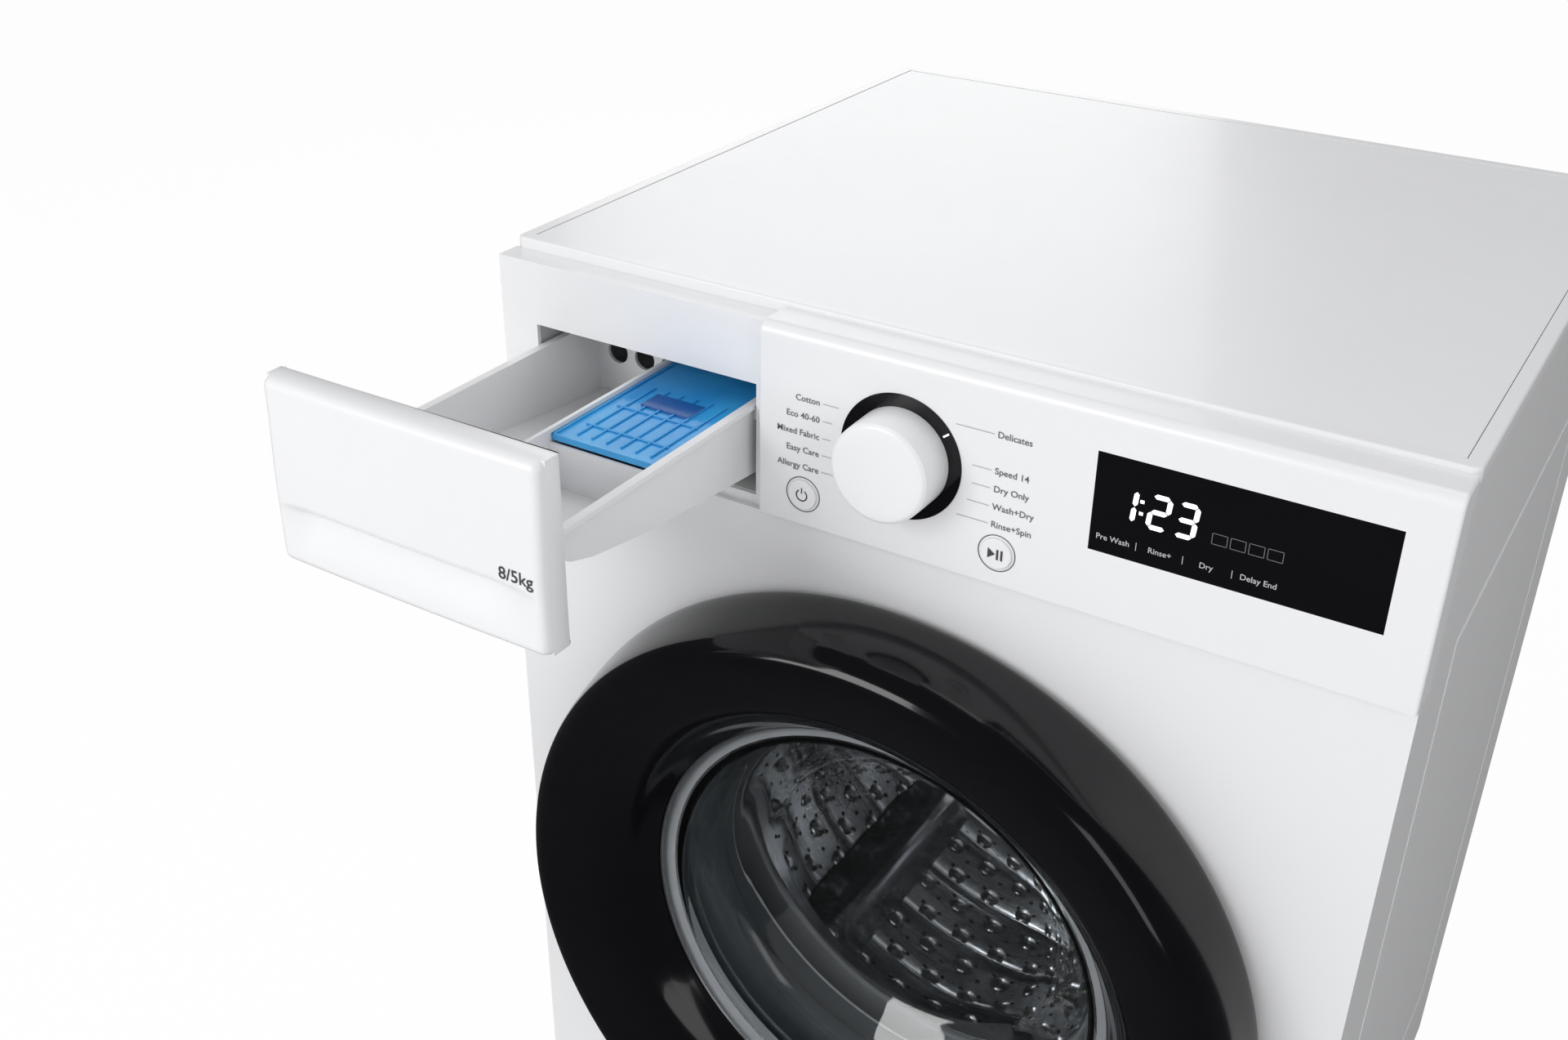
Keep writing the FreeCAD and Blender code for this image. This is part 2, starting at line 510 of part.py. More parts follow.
def door_hinge_bracket():
    """Bracket on the front panel that reaches out to its riveted pin."""
    foot_plate = box(HINGE_X - 8, HINGE_X + 8, FACE_Y - 1.5, FACE_Y, DOOR_Z - 8.5, DOOR_Z + 8.5)
    web = box(HINGE_X - 3, HINGE_X + 3, HINGE_Y, FACE_Y - 1, DOOR_Z - 8.5, DOOR_Z + 8.5)
    knuckle = tube_z(HINGE_X, HINGE_Y, DOOR_Z - 8.5, DOOR_Z + 8.5, KNUCKLE_R)
    bracket = fuse(foot_plate, web, knuckle)
    return fuse(bracket, tube_z(HINGE_X, HINGE_Y, DOOR_Z - HINGE_HALF, DOOR_Z + HINGE_HALF, HINGE_PIN_R))


LOCK_X, LOCK_Z = 238.0, DOOR_Z
HOOK_PIN_Y, HOOK_PIN_R = RING_BACK_Y - 12, 2.0


def door_hook():
    x0, x1 = LOCK_X - HOOK_THICK / 2, LOCK_X + HOOK_THICK / 2
    shank = box(x0, x1, HOOK_PIN_Y - 5, 24, LOCK_Z - 5, LOCK_Z + 5)
    tip = box(x0, x1, 19, 24, LOCK_Z - 11, LOCK_Z - 4)
    pin = Part.makeCylinder(HOOK_PIN_R, HOOK_THICK + 9, V(x0 - 4.5, HOOK_PIN_Y, LOCK_Z), V(1, 0, 0))
    return fuse(shank, tip, pin)


def hook_carrier():
    """Two cheeks on the back frame that hold the hook's pivot."""
    y = RING_BACK_Y
    cheeks = [box(x, x + 3, HOOK_PIN_Y - 5, y - 1, LOCK_Z - 14, LOCK_Z + 14) for x in (LOCK_X - 6, LOCK_X + 3)]
    bridge = box(LOCK_X - 6, LOCK_X + 6, HOOK_PIN_Y - 9, HOOK_PIN_Y - 7, LOCK_Z - 14, LOCK_Z + 14)
    cheeks = [c.fuse(box(c.BoundBox.XMin, c.BoundBox.XMax, HOOK_PIN_Y - 9, HOOK_PIN_Y - 4,
                         LOCK_Z - 14, LOCK_Z + 14)) for c in cheeks]
    bore = Part.makeCylinder(HOOK_PIN_R + RUN, 14, V(LOCK_X - 7, HOOK_PIN_Y, LOCK_Z), V(1, 0, 0))
    return fuse(bridge, *cheeks).cut(bore)


def door_lock():
    case = box(LOCK_X - 20, LOCK_X + 20, SHEET_IN, 42, LOCK_Z - 36, LOCK_Z + 36)
    pocket = box(LOCK_X - 6, LOCK_X + 6, 0, 36, LOCK_Z - 18, LOCK_Z + 18)
    bar = box(LOCK_X - 7, LOCK_X + 7, 12, 15, LOCK_Z - 18.5, LOCK_Z - 11.6)
    return case.cut(pocket).fuse(bar).removeSplitter()


# ---- washing unit -------------------------------------------------------------------------
GASKET_R = 183.0
HUB_R, HUB_Y0, HUB_Y1 = 42.0, TUB_BACK_Y - 8, TUB_BACK_Y + 33
FRONT_BEARING = (31.0, HUB_Y0 + 2, HUB_Y0 + 18)      # radius, start y, end y
REAR_BEARING = (26.0, HUB_Y1 - 16, HUB_Y1 - 2)
MOTOR_Y = HUB_Y1 + 43                                # rear face of the rotor
ROTOR_R, STATOR_R = 128.0, 118.0
FLANGE_R = TUB_OUT + 9
BOLT_R = 3.0
BOLT_PLACES = [(FLANGE_R - 4.5, math.radians(22.5 + 45 * i)) for i in range(8)]
HEATER_X, HEATER_TUBE_R = 25.0, 4.0
HEATER_Z = DOOR_Z - (DRUM_R + TUB_R) / 2 + 0.6
SUMP = (-60.0, 180.0)
ROD_R = 6.0
FLANGE_Y = (TUB_SPLIT_Y - 6, TUB_SPLIT_Y + 6)


def polar(r, angle):
    return r * math.cos(angle), DOOR_Z + r * math.sin(angle)


def cut_bolts(shape):
    for r, a in BOLT_PLACES:
        shape = shape.cut(tube_y(*polar(r, a), FLANGE_Y[0] - 1, FLANGE_Y[1] + 1, BOLT_R + RUN))
    return shape


def door_gasket():
    """Rubber bellows from the rim of the front panel's hole to the lip of the tub."""
    g, y = GASKET_R, TUB_FRONT_Y
    return turned([(DOOR_MOUTH_R - 15, SHEET_IN + 2), (MOUTH_R - 0.4, SHEET_IN + 2), (MOUTH_R - 0.4, y - 44),
                   (g - 5, y - 37), (g - 5, y - 27), (g, y - 21), (g, y - 1), (g - 3, y - 1), (g - 3, y - 19),
                   (g - 8, y - 25), (g - 8, y - 39), (MOUTH_R - 3.4, y - 46), (MOUTH_R - 3.4, SHEET_IN + 5),
                   (DOOR_MOUTH_R - 15, SHEET_IN + 5)])


def tub_front():
    y, s = TUB_FRONT_Y, TUB_SPLIT_Y
    lip = GASKET_R + 0.4
    half = turned([(lip, y - 13), (lip + 4, y - 13), (lip + 4, y), (TUB_OUT, y), (TUB_OUT, FLANGE_Y[0]),
                   (FLANGE_R, FLANGE_Y[0]), (FLANGE_R, s), (TUB_R, s), (TUB_R, y + 4), (lip, y + 4)])
    x, py = SUMP
    low = DOOR_Z - math.sqrt(TUB_R ** 2 - x ** 2)
    half = half.fuse(tube_z(x, py, low - 14, low + 1, 20).cut(tube_y(0, DOOR_Z, 0, 300, TUB_R)))
    half = half.cut(tube_z(x, py, low - 15, low + 20, 16))
    high = DOOR_Z + math.sqrt(TUB_R ** 2 - OUTLET_X ** 2)
    port = tube_z(OUTLET_X, OUTLET_Y, high - 12, BELLOWS_Z + 8, 14).cut(tube_y(0, DOOR_Z, 0, 300, TUB_R))
    half = half.fuse(port).cut(tube_z(OUTLET_X, OUTLET_Y, high - 30, high + 40, 11.5))
    return cut_bolts(half).removeSplitter()


def tub_rear():
    y, s = TUB_BACK_Y, TUB_SPLIT_Y
    r1, a0, a1 = FRONT_BEARING
    r2, b0, b1 = REAR_BEARING
    half = turned([(TUB_R, s), (FLANGE_R, s), (FLANGE_R, FLANGE_Y[1]), (TUB_OUT, FLANGE_Y[1]), (TUB_OUT, y),
                   (HUB_R, y), (HUB_R, HUB_Y1), (r2, HUB_Y1), (r2, b0), (SHAFT_R + 4, b0), (SHAFT_R + 4, a1),
                   (r1, a1), (r1, HUB_Y0), (HUB_R, HUB_Y0), (HUB_R + 4, y - 4), (TUB_R, y - 4)])
    for sx in (-1, 1):
        post = box(sx * HANGER_X - 12, sx * HANGER_X + 12, HANGER_Y - 12, HANGER_Y + 12, DOOR_Z + 90, SPRING_LOW)
        lug = box(sx * DAMPER_X - 10, sx * DAMPER_X + 10, HANGER_Y - 10, HANGER_Y + 10, DAMPER_Z, DAMPER_Z + 45)
        for extra in (post, lug):
            half = half.fuse(extra.cut(tube_y(0, DOOR_Z, 0, 500, TUB_R + 1)))
        half = half.cut(tube_y(sx * HEATER_X, HEATER_Z, y - 10, y + 10, HEATER_TUBE_R + 0.2))
    return cut_bolts(half).removeSplitter()


def counterweight(angle0, angle1):
    """Cast block, a sector of a ring, on the front wall of the tub."""
    y0, y1 = TUB_FRONT_Y - 47, TUB_FRONT_Y - 0.3
    ring = tube_y(0, DOOR_Z, y0, y1, TUB_OUT - 3, GASKET_R + 14)
    far = 400.0
    steps = [angle0 + (angle1 - angle0) * i / 4 for i in range(5)]
    corners = [V(0, y0 - 1, DOOR_Z)] + [
        V(far * math.cos(math.radians(a)), y0 - 1, DOOR_Z + far * math.sin(math.radians(a))) for a in steps]
    wedge = Part.Face(Part.makePolygon(corners + corners[:1])).extrude(V(0, y1 - y0 + 2, 0))
    return ring.common(wedge)


def tub_screws():
    screws = []
    for r, a in BOLT_PLACES:
        x, z = polar(r, a)
        screws.append(fuse(tube_y(x, z, FLANGE_Y[0] - 4, FLANGE_Y[0], 4.4),
                           tube_y(x, z, FLANGE_Y[0] - 1, FLANGE_Y[1] + 3, BOLT_R)))
    return screws


def drum_shell():
    r, w, y0, y1 = DRUM_R, DRUM_WALL, DRUM_FRONT_Y, DRUM_BACK_Y
    m = DRUM_MOUTH_R
    return turned([(m, y0 - 2), (m, y0 + 10), (m + w, y0 + 10), (m + w, y0 - 0.5), (r - 8, y0 + w), (r - w, y0 + 9),
                   (r - w, y1), (r, y1), (r, y0 + 8), (r - 7.5, y0), (m + w, y0 - 2)])


def drum_back():
    """Pressed rear wall with a raised centre and an outer step."""
    y, r = DRUM_BACK_Y, DRUM_R - DRUM_WALL
    return turned([(0, y - 14), (70, y - 14), (95, y - 2), (r, y - 2), (r, y), (94, y), (69, y - 12), (0, y - 12)])


def lifter(index):
    """Hollow-looking paddle along the drum wall, with sloping ends."""
    y0, y1, r = DRUM_FRONT_Y + 22, DRUM_BACK_Y - 12, DRUM_R - DRUM_WALL
    base, crest, tall = 38.0, 11.0, LIFTER_HIGH
    outline = [V(-base, y0, -r - 8), V(-base, y0, -r + 6), V(-crest, y0, -r + tall), V(crest, y0, -r + tall),
               V(base, y0, -r + 6), V(base, y0, -r - 8)]
    paddle = Part.Face(Part.makePolygon(outline + outline[:1])).extrude(V(0, y1 - y0, 0))
    paddle = rounded(paddle, 6.0, lambda c: c.z > -r + 10 and y0 + 1 < c.y < y1 - 1)
    paddle = paddle.common(Part.makeCylinder(r - SEAT, y1 - y0 + 2, V(0, y0 - 1, 0), V(0, 1, 0)))
    paddle = paddle.rotated(V(0, 0, 0), V(0, 1, 0), 360.0 / LIFTER_COUNT * index + 35)
    return paddle.translated(V(0, 0, DOOR_Z))


def spider():
    y0, y1 = DRUM_BACK_Y, DRUM_BACK_Y + 11
    star = tube_y(0, DOOR_Z, y0, y1 + 2, 30)
    for i in range(3):
        arm = box(0, DRUM_R - 12, y0, y1, -15, 15).rotated(V(0, 0, 0), V(0, 1, 0), 120 * i + 35)
        star = star.fuse(arm.translated(V(0, 0, DOOR_Z)))
    return star.cut(tube_y(0, DOOR_Z, y0 - 1, y1 + 9, SHAFT_R + RUN)).removeSplitter()


def drum_shaft():
    bar = tube_y(0, DOOR_Z, DRUM_BACK_Y, MOTOR_Y, SHAFT_R)
    return bar.cut(tube_y(0, DOOR_Z, MOTOR_Y - 25, MOTOR_Y + 1, 5.0))


def bearing(place):
    r, y0, y1 = place
    return tube_y(0, DOOR_Z, y0, y1, r - RUN, SHAFT_R + RUN)


def stator():
    disc = tube_y(0, DOOR_Z, HUB_Y1, HUB_Y1 + 8, 72, 28)
    core = tube_y(0, DOOR_Z, HUB_Y1 + 6, HUB_Y1 + 32, STATOR_R, 62)
    for i in range(36):
        x, z = polar(STATOR_R - 9, math.radians(10 * i))
        core = core.cut(tube_y(x, z, HUB_Y1 + 5, HUB_Y1 + 33, 4.2))
    return disc.fuse(core).removeSplitter()


def rotor():
    y, r = MOTOR_Y, ROTOR_R
    return turned([(SHAFT_R + RUN, y - 18), (32, y - 18), (34, y - 4), (r - 4, y - 4), (r - 4, y - 38), (r, y - 38),
                   (r, y), (SHAFT_R + RUN, y)])


def rotor_bolt():
    head = Part.Face(Part.makePolygon([V(17 * math.cos(math.pi / 3 * i), MOTOR_Y, DOOR_Z +
                     17 * math.sin(math.pi / 3 * i)) for i in range(7)])).extrude(V(0, 9, 0))
    return fuse(head, tube_y(0, DOOR_Z, MOTOR_Y - 22, MOTOR_Y + 1, 5.0 - RUN))


def heater():
    y0, y1, r = TUB_FRONT_Y + 40, TUB_BACK_Y + 12, HEATER_TUBE_R
    rods = [tube_y(x, HEATER_Z, y0, y1, r) for x in (-HEATER_X, HEATER_X)]
    bow = Part.makeCylinder(r - 0.4, 2 * HEATER_X, V(-HEATER_X, y0 + r + 1, HEATER_Z), V(1, 0, 0))
    flange = box(-HEATER_X - 14, HEATER_X + 14, TUB_BACK_Y, TUB_BACK_Y + 4, HEATER_Z - 8, HEATER_Z + 12)
    return fuse(bow, flange, *rods)


def spring(x):
    """Tension spring between the cross brace and the tub's post."""
    wire, coil_r, turns = 2.2, 13.0, 14
    z0, z1 = SPRING_LOW + wire + 0.2, SPRING_TOP - wire - 0.2
    helix = Part.makeHelix((z1 - z0) / turns, z1 - z0, coil_r)
    profile = Part.Wire(Part.makeCircle(wire, V(coil_r, 0, 0), V(0, 1, 0)))
    coil = Part.Wire(helix.Edges).makePipeShell([profile], True, True)
    return coil.translated(V(x, HANGER_Y, z0))


def damper_cylinder(x):
    z0, z1 = BASE_Z + 12, DAMPER_Z - 60
    body = tube_z(x, HANGER_Y, z0, z1, 14)
    body = body.cut(tube_z(x, HANGER_Y, z0 + 6, z1 - 12, 11))
    return body.cut(tube_z(x, HANGER_Y, z1 - 20, z1 + 1, ROD_R + RUN))


def damper_rod(x):
    return tube_z(x, HANGER_Y, BASE_Z + 12 + 6 + 2 * TUB_TRAVEL, DAMPER_Z, ROD_R)


# ---- water ---------------------------------------------------------------------------------
PUMP_Y = 120.0
PORT_Y = 80.0
HOSE_R, HOSE_BORE = 11.0, 8.0


def drain_pump():
    x, z = PUMP_X, PUMP_Z
    body = fuse(tube_y(x, z, FACE_Y + 16, PUMP_Y + 1, 31), tube_y(x, z, PUMP_Y, PUMP_Y + 30, 38),
                tube_y(x, z, PUMP_Y + 29, PUMP_Y + 78, 26),
                Part.makeCylinder(19, 24, V(x + 28, PORT_Y, z), V(1, 0, 0)),
                tube_z(x - 25, PUMP_Y + 15, z + 20, z + 50, HOSE_R),
                box(x - 24, x + 24, PUMP_Y - 60, PUMP_Y + 20, BASE_Z + 3, z - 20))
    body = body.cut(tube_y(x, z, 0, PUMP_Y - 8, FILTER_R + RUN))
    body = body.cut(tube_y(x, z, PUMP_Y - 9, PUMP_Y + 24, 20))
    body = body.cut(Part.makeCylinder(15, 40, V(x + 20, PORT_Y, z), V(1, 0, 0)))
    body = body.cut(tube_z(x - 25, PUMP_Y + 15, z + 12, z + 51, HOSE_BORE))
    body = body.cut(tube_y(x, z, PUMP_Y + 20, PUMP_Y + 60, IMPELLER_SHAFT_R + RUN))
    return body.removeSplitter()


FILTER_R, IMPELLER_SHAFT_R = 26.0, 2.5


def pump_filter():
    x, z = PUMP_X, PUMP_Z
    cap = tube_y(x, z, FACE_Y + 8, FACE_Y + 15.6, 34)
    grip = box(x - 26, x + 26, FACE_Y + 4.5, FACE_Y + 9, z - 4, z + 4)
    plug = tube_y(x, z, FACE_Y + 15, PORT_Y - 30, FILTER_R)
    ribs = tube_y(x, z, PORT_Y - 31, PUMP_Y - 14, FILTER_R - 1, FILTER_R - 4)
    return fuse(cap, grip, plug, ribs)


def pump_impeller():
    x, z, y = PUMP_X, PUMP_Z, PUMP_Y
    wheel = fuse(tube_y(x, z, y + 16, y + 19, 17), tube_y(x, z, y + 4, y + 58, IMPELLER_SHAFT_R))
    vanes = []
    for i in range(6):
        vane = box(1.5, 16, y + 5, y + 17, -1, 1).rotated(V(0, 0, 0), V(0, 1, 0), 60 * i)
        vanes.append(vane.translated(V(x, 0, z)))
    return fuse(wheel, *vanes)


def drain_hose():
    x0, y0, z0 = PUMP_X - 25, PUMP_Y + 15, PUMP_Z + 50
    side = -HALF + 19
    x1, z1 = SPIGOT
    return hose([V(x0, y0, z0), V(x0, y0, z0 + 34), V(side, y0 + 30, z0 + 110), V(side, y0 + 190, 470),
                 V(side, 450, 640), V(x1, 490, z1), V(x1, DEPTH - 16, z1)], HOSE_R, HOSE_BORE)


def drain_spigot():
    x, z = SPIGOT
    tail = tube_y(x, z, DEPTH - 16, BACK_MOST, HOSE_R, HOSE_BORE)
    return tail.fuse(tube_y(x, z, DEPTH, DEPTH + 2, 17, HOSE_BORE)).removeSplitter()


def sump_hose():
    x, y = SUMP
    top = DOOR_Z - math.sqrt(TUB_R ** 2 - x ** 2) - 14
    start = PUMP_X + 52
    return hose([V(start, PORT_Y, PUMP_Z), V(start + 36, PORT_Y, PUMP_Z), V(x, PORT_Y + 52, PUMP_Z),
                 V(x, y, PUMP_Z + 8), V(x, y, top)], 18.5, 15.5)


def fill_bellows():
    z0, r = BELLOWS_Z, BELLOWS_R
    ring = tube_z(OUTLET_X, OUTLET_Y, z0, HOUSING_BOTTOM - 4, r, 14.4)
    for i in range(6):
        ring = ring.fuse(tube_z(OUTLET_X, OUTLET_Y, z0 + 16 + 12 * i, z0 + 21 + 12 * i, r + 3, 14.4))
    return ring.removeSplitter()


def cord_gland():
    x, z = GLAND
    return fuse(tube_y(x, z, REAR_IN - 8, BACK_MOST - 2, GLAND_R), tube_y(x, z, DEPTH, DEPTH + 3, 12)).cut(
        tube_y(x, z, REAR_IN - 9, BACK_MOST, 4.2))


def panel_screws():
    """Screws of the rear cover and the rear panel."""
    places = [polar(COVER_R - 6, math.radians(30 + 60 * i)) for i in range(6)]
    heads = [tube_y(x, z, DEPTH + 1.5, DEPTH + 4, 4.5) for x, z in places]
    rim = [(sx * (HALF - 9), z) for sx in (-1, 1) for z in (BASE_Z + 30, DOOR_Z, WALL_TOP - 30)]
    return heads + [tube_y(x, z, DEPTH, DEPTH + 2.5, 4.5) for x, z in rim]


# ---- write every node ----------------------------------------------------------------------
save("left_side_panel", side_panel(-1))
save("right_side_panel", side_panel(1))
save("front_panel", front_panel())
save("control_panel", control_panel())
save("drawer_surround", drawer_surround())
trim, board = top_parts()
save("top_trim", trim)
save("top_board", board)
hangers = [box(sx * HANGER_X - 16, sx * HANGER_X + 16, HANGER_Y - 16, HANGER_Y + 16, SPRING_TOP, WALL_TOP - 2)
           for sx in (-1, 1)]
save("cross_braces", cross_brace(TOP_FRONT_Y + 2, TOP_FRONT_Y + 32),
     fuse(cross_brace(HANGER_Y - 17, HANGER_Y + 17), *hangers))
save("rear_panel", rear_panel())
save("rear_cover", rear_cover())
save("base_pan", base_pan())
feet = {"front_left": (-FOOT_X, FOOT_FRONT_Y), "front_right": (FOOT_X, FOOT_FRONT_Y),
        "rear_left": (-FOOT_X, FOOT_REAR_Y), "rear_right": (FOOT_X, FOOT_REAR_Y)}
for name, place in feet.items():
    save("foot_" + name, foot(*place))
save("service_flap", service_flap())
save("program_knob", program_knob())
save("knob_ring", tube_y(0, KNOB_Z, -0.4, 1.0, RING_R, 8.0 + 0.4))
save("power_button", button(-BUTTON_X))
save("start_button", button(BUTTON_X))
save("display_window", display_window())
save("control_board", control_board())
save("drawer_front", drawer_front())
save("drawer_body", drawer_body())
save("softener_cap", softener_cap())
save("dispenser_housing", dispenser_housing())
save("inlet_valve", inlet_valve())
save("fill_hose", hose(FILL, 9.0, 7.0))
save("door_ring", door_ring())
save("door_back_frame", fuse(door_back_frame(), hook_carrier()))
save("door_glass", door_glass())
save("door_hinge_arm", door_hinge_arm())
save("door_hinge_bracket", door_hinge_bracket())
save("door_hook", door_hook())
save("door_lock", door_lock())
save("door_gasket", door_gasket())
save("tub_front", tub_front())
save("tub_rear", tub_rear())
save("counterweights", counterweight(35, 145), counterweight(205, 335))
save("tub_screws", *tub_screws())
save("drum", fuse(drum_shell(), drum_back()))
save("drum_lifters", *[lifter(number) for number in range(LIFTER_COUNT)])
save("drum_spider", spider())
save("drum_shaft", drum_shaft())
save("bearings", bearing(FRONT_BEARING), bearing(REAR_BEARING))
save("stator", stator())
save("rotor", rotor())
save("rotor_bolt", rotor_bolt())
save("heater", heater())
save("suspension_springs", spring(-HANGER_X), spring(HANGER_X))
save("damper_cylinders", damper_cylinder(-DAMPER_X), damper_cylinder(DAMPER_X))
save("damper_rods", damper_rod(-DAMPER_X), damper_rod(DAMPER_X))
save("drain_pump", drain_pump())
save("pump_filter", pump_filter())
save("pump_impeller", pump_impeller())
save("drain_hose", fuse(drain_hose(), drain_spigot()))
save("sump_hose", sump_hose())
save("fill_bellows", fill_bellows())
save("cord_gland", cord_gland())
save("casing_fasteners", *panel_screws(), *[foot_locknut(*place) for place in feet.values()])
print("row shift", ROW_SHIFT_Y, "front", FRONT_MOST, "back", BACK_MOST)
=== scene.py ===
"""Front load washing machine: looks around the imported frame. Metres, same frame as the model."""
import json
import math

import bmesh
import bpy
from mathutils import Matrix, Vector


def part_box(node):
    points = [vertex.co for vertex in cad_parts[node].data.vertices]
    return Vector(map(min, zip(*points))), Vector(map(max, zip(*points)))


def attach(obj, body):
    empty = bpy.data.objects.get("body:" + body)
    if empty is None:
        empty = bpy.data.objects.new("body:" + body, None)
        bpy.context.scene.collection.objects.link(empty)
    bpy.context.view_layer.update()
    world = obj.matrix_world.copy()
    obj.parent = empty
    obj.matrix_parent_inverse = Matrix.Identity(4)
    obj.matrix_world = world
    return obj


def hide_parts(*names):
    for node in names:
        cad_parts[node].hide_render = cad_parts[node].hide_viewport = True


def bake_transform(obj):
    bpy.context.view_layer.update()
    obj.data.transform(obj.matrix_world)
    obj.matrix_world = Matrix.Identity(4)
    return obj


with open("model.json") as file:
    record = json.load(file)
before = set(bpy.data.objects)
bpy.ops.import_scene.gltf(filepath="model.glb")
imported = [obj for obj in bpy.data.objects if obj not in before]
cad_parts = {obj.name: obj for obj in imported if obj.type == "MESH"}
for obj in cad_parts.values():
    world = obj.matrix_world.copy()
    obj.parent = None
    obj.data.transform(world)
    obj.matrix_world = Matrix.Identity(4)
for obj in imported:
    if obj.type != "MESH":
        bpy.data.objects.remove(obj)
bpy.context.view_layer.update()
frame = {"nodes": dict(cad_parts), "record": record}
NODES = frame["nodes"]


def low(node):
    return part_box(node)[0]


def high(node):
    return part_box(node)[1]


def middle(node):
    a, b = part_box(node)
    return Vector([(a[i] + b[i]) / 2 for i in range(3)])


# ---- places taken from the frame -----------------------------------------------------------
PANEL_Y = low("control_panel")[1]
DOOR = middle("drum_shaft")
DOOR_X, DOOR_Z = DOOR.x, DOOR.z
RING_BACK = high("door_ring")[1]
RING_FRONT = low("door_ring")[1]
RING_R = (high("door_ring")[0] - low("door_ring")[0]) / 2
KNOB = middle("program_knob")
DISPLAY_LOW = low("display_window")
LIFT = 0.00025            # how far print stands off its surface


# ---- camera --------------------------------------------------------------------------------
CAMERA_X, CAMERA_AWAY, CAMERA_Z = 0.3909, 0.7573, 1.2170      # right of the middle, before the panel, up
CAMERA_TURN = (31.72, 29.13, 0.70)                            # yaw, pitch down and roll in degrees
SENSOR, LENS = 36.0, 38.42                                    # millimetres


def make_camera():
    """Looks down on the front left corner of the machine from the right."""
    place = Vector((CAMERA_X, PANEL_Y - CAMERA_AWAY, CAMERA_Z))
    yaw, pitch, roll = (math.radians(a) for a in CAMERA_TURN)
    ahead = Vector((-math.sin(yaw) * math.cos(pitch), math.cos(yaw) * math.cos(pitch), -math.sin(pitch)))
    side = Vector((math.cos(yaw), math.sin(yaw), 0))
    up = side.cross(ahead)
    right = math.cos(roll) * side + math.sin(roll) * up
    top = -math.sin(roll) * side + math.cos(roll) * up
    data = bpy.data.cameras.new("camera")
    data.sensor_width, data.lens = SENSOR, LENS
    data.clip_start = 0.02
    camera = bpy.data.objects.new("camera", data)
    turn = Matrix((right, top, -ahead)).transposed().to_4x4()
    camera.matrix_world = Matrix.Translation(place) @ turn
    bpy.context.scene.collection.objects.link(camera)
    bpy.context.scene.camera = camera


make_camera()


# ---- shader expressions --------------------------------------------------------------------
class Num:
    """A number that varies over the surface; arithmetic on it adds Math nodes."""

    def __init__(self, shader, socket):
        self.shader = shader
        self.socket = socket

    def _math(self, operation, *values):
        node = self.shader.node("ShaderNodeMath", {"operation": operation}, dict(enumerate(values)))
        return Num(self.shader, node.outputs[0])

    def __add__(self, other):
        return self._math("ADD", self, other)

    def __sub__(self, other):
        return self._math("SUBTRACT", self, other)

    def __rsub__(self, other):
        return self._math("SUBTRACT", other, self)

    def __mul__(self, other):
        return self._math("MULTIPLY", self, other)

    __radd__ = __add__
    __rmul__ = __mul__


class Shader:
    """One material's node tree."""

    def __init__(self, name):
        self.material = bpy.data.materials.new(name)
        self.material.use_nodes = True
        self.tree = self.material.node_tree
        self.surface = self.tree.nodes["Principled BSDF"]

    def node(self, kind, settings=None, inputs=None):
        node = self.tree.nodes.new(kind)
        for key, value in (settings or {}).items():
            setattr(node, key, value)
        for key, value in (inputs or {}).items():
            self.feed(node, key, value)
        return node

    def feed(self, node, key, value):
        socket = node.inputs[key]
        if isinstance(value, Num):
            self.tree.links.new(value.socket, socket)
        elif isinstance(value, bpy.types.NodeSocket):
            self.tree.links.new(value, socket)
        elif isinstance(value, tuple) and socket.type == "RGBA" and len(value) == 3:
            socket.default_value = (*value, 1.0)
        else:
            socket.default_value = value

    def put(self, **inputs):
        for key, value in inputs.items():
            self.feed(self.surface, key.replace("_", " "), value)

    def place(self, scale=(1.0, 1.0, 1.0)):
        coordinates = self.node("ShaderNodeTexCoord")
        mapping = self.node("ShaderNodeMapping", None,
                            {"Vector": coordinates.outputs["Object"], "Scale": scale})
        return mapping.outputs[0]

    def noise(self, scale, detail=4.0, stretch=(1.0, 1.0, 1.0)):
        node = self.node("ShaderNodeTexNoise", None,
                         {"Vector": self.place(stretch), "Scale": scale, "Detail": detail})
        return Num(self, node.outputs["Fac"])

    def cells(self, scale, output="Distance"):
        node = self.node("ShaderNodeTexVoronoi", None, {"Vector": self.place(), "Scale": scale})
        return node.outputs[output]

    def mix(self, factor, a, b):
        node = self.node("ShaderNodeMix", {"data_type": "RGBA"})
        self.feed(node, 0, factor)
        self.feed(node, 6, a)
        self.feed(node, 7, b)
        return node.outputs[2]

    def bump(self, height, strength, distance):
        node = self.node("ShaderNodeBump", None,
                         {"Height": height, "Strength": strength, "Distance": distance})
        self.put(Normal=node.outputs[0])


# ---- finishes ------------------------------------------------------------------------------
def moulded(name, light, dark, rough, coat=0.0, grain=900.0, depth=0.15, mottle=9.0):
    """Injection moulding: faint shade drift, satin variation and a fine tool texture."""
    s = Shader(name)
    drift = s.noise(mottle, 3.0)
    s.put(Base_Color=s.mix(drift, dark, light), Roughness=s.noise(60.0) * 0.10 + rough)
    s.put(Coat_Weight=coat, Coat_Roughness=0.08)
    s.bump(s.noise(grain, 2.0), depth, 0.0002)
    return s.material


def enamel(name, light, dark):
    """Powder coat on sheet steel, with the slight orange peel that such paint has."""
    s = Shader(name)
    s.put(Base_Color=s.mix(s.noise(5.0), dark, light), Roughness=s.noise(240.0) * 0.10 + 0.26)
    s.put(Coat_Weight=0.25, Coat_Roughness=0.12)
    s.bump(s.noise(420.0, 2.0), 0.10, 0.0003)
    return s.material


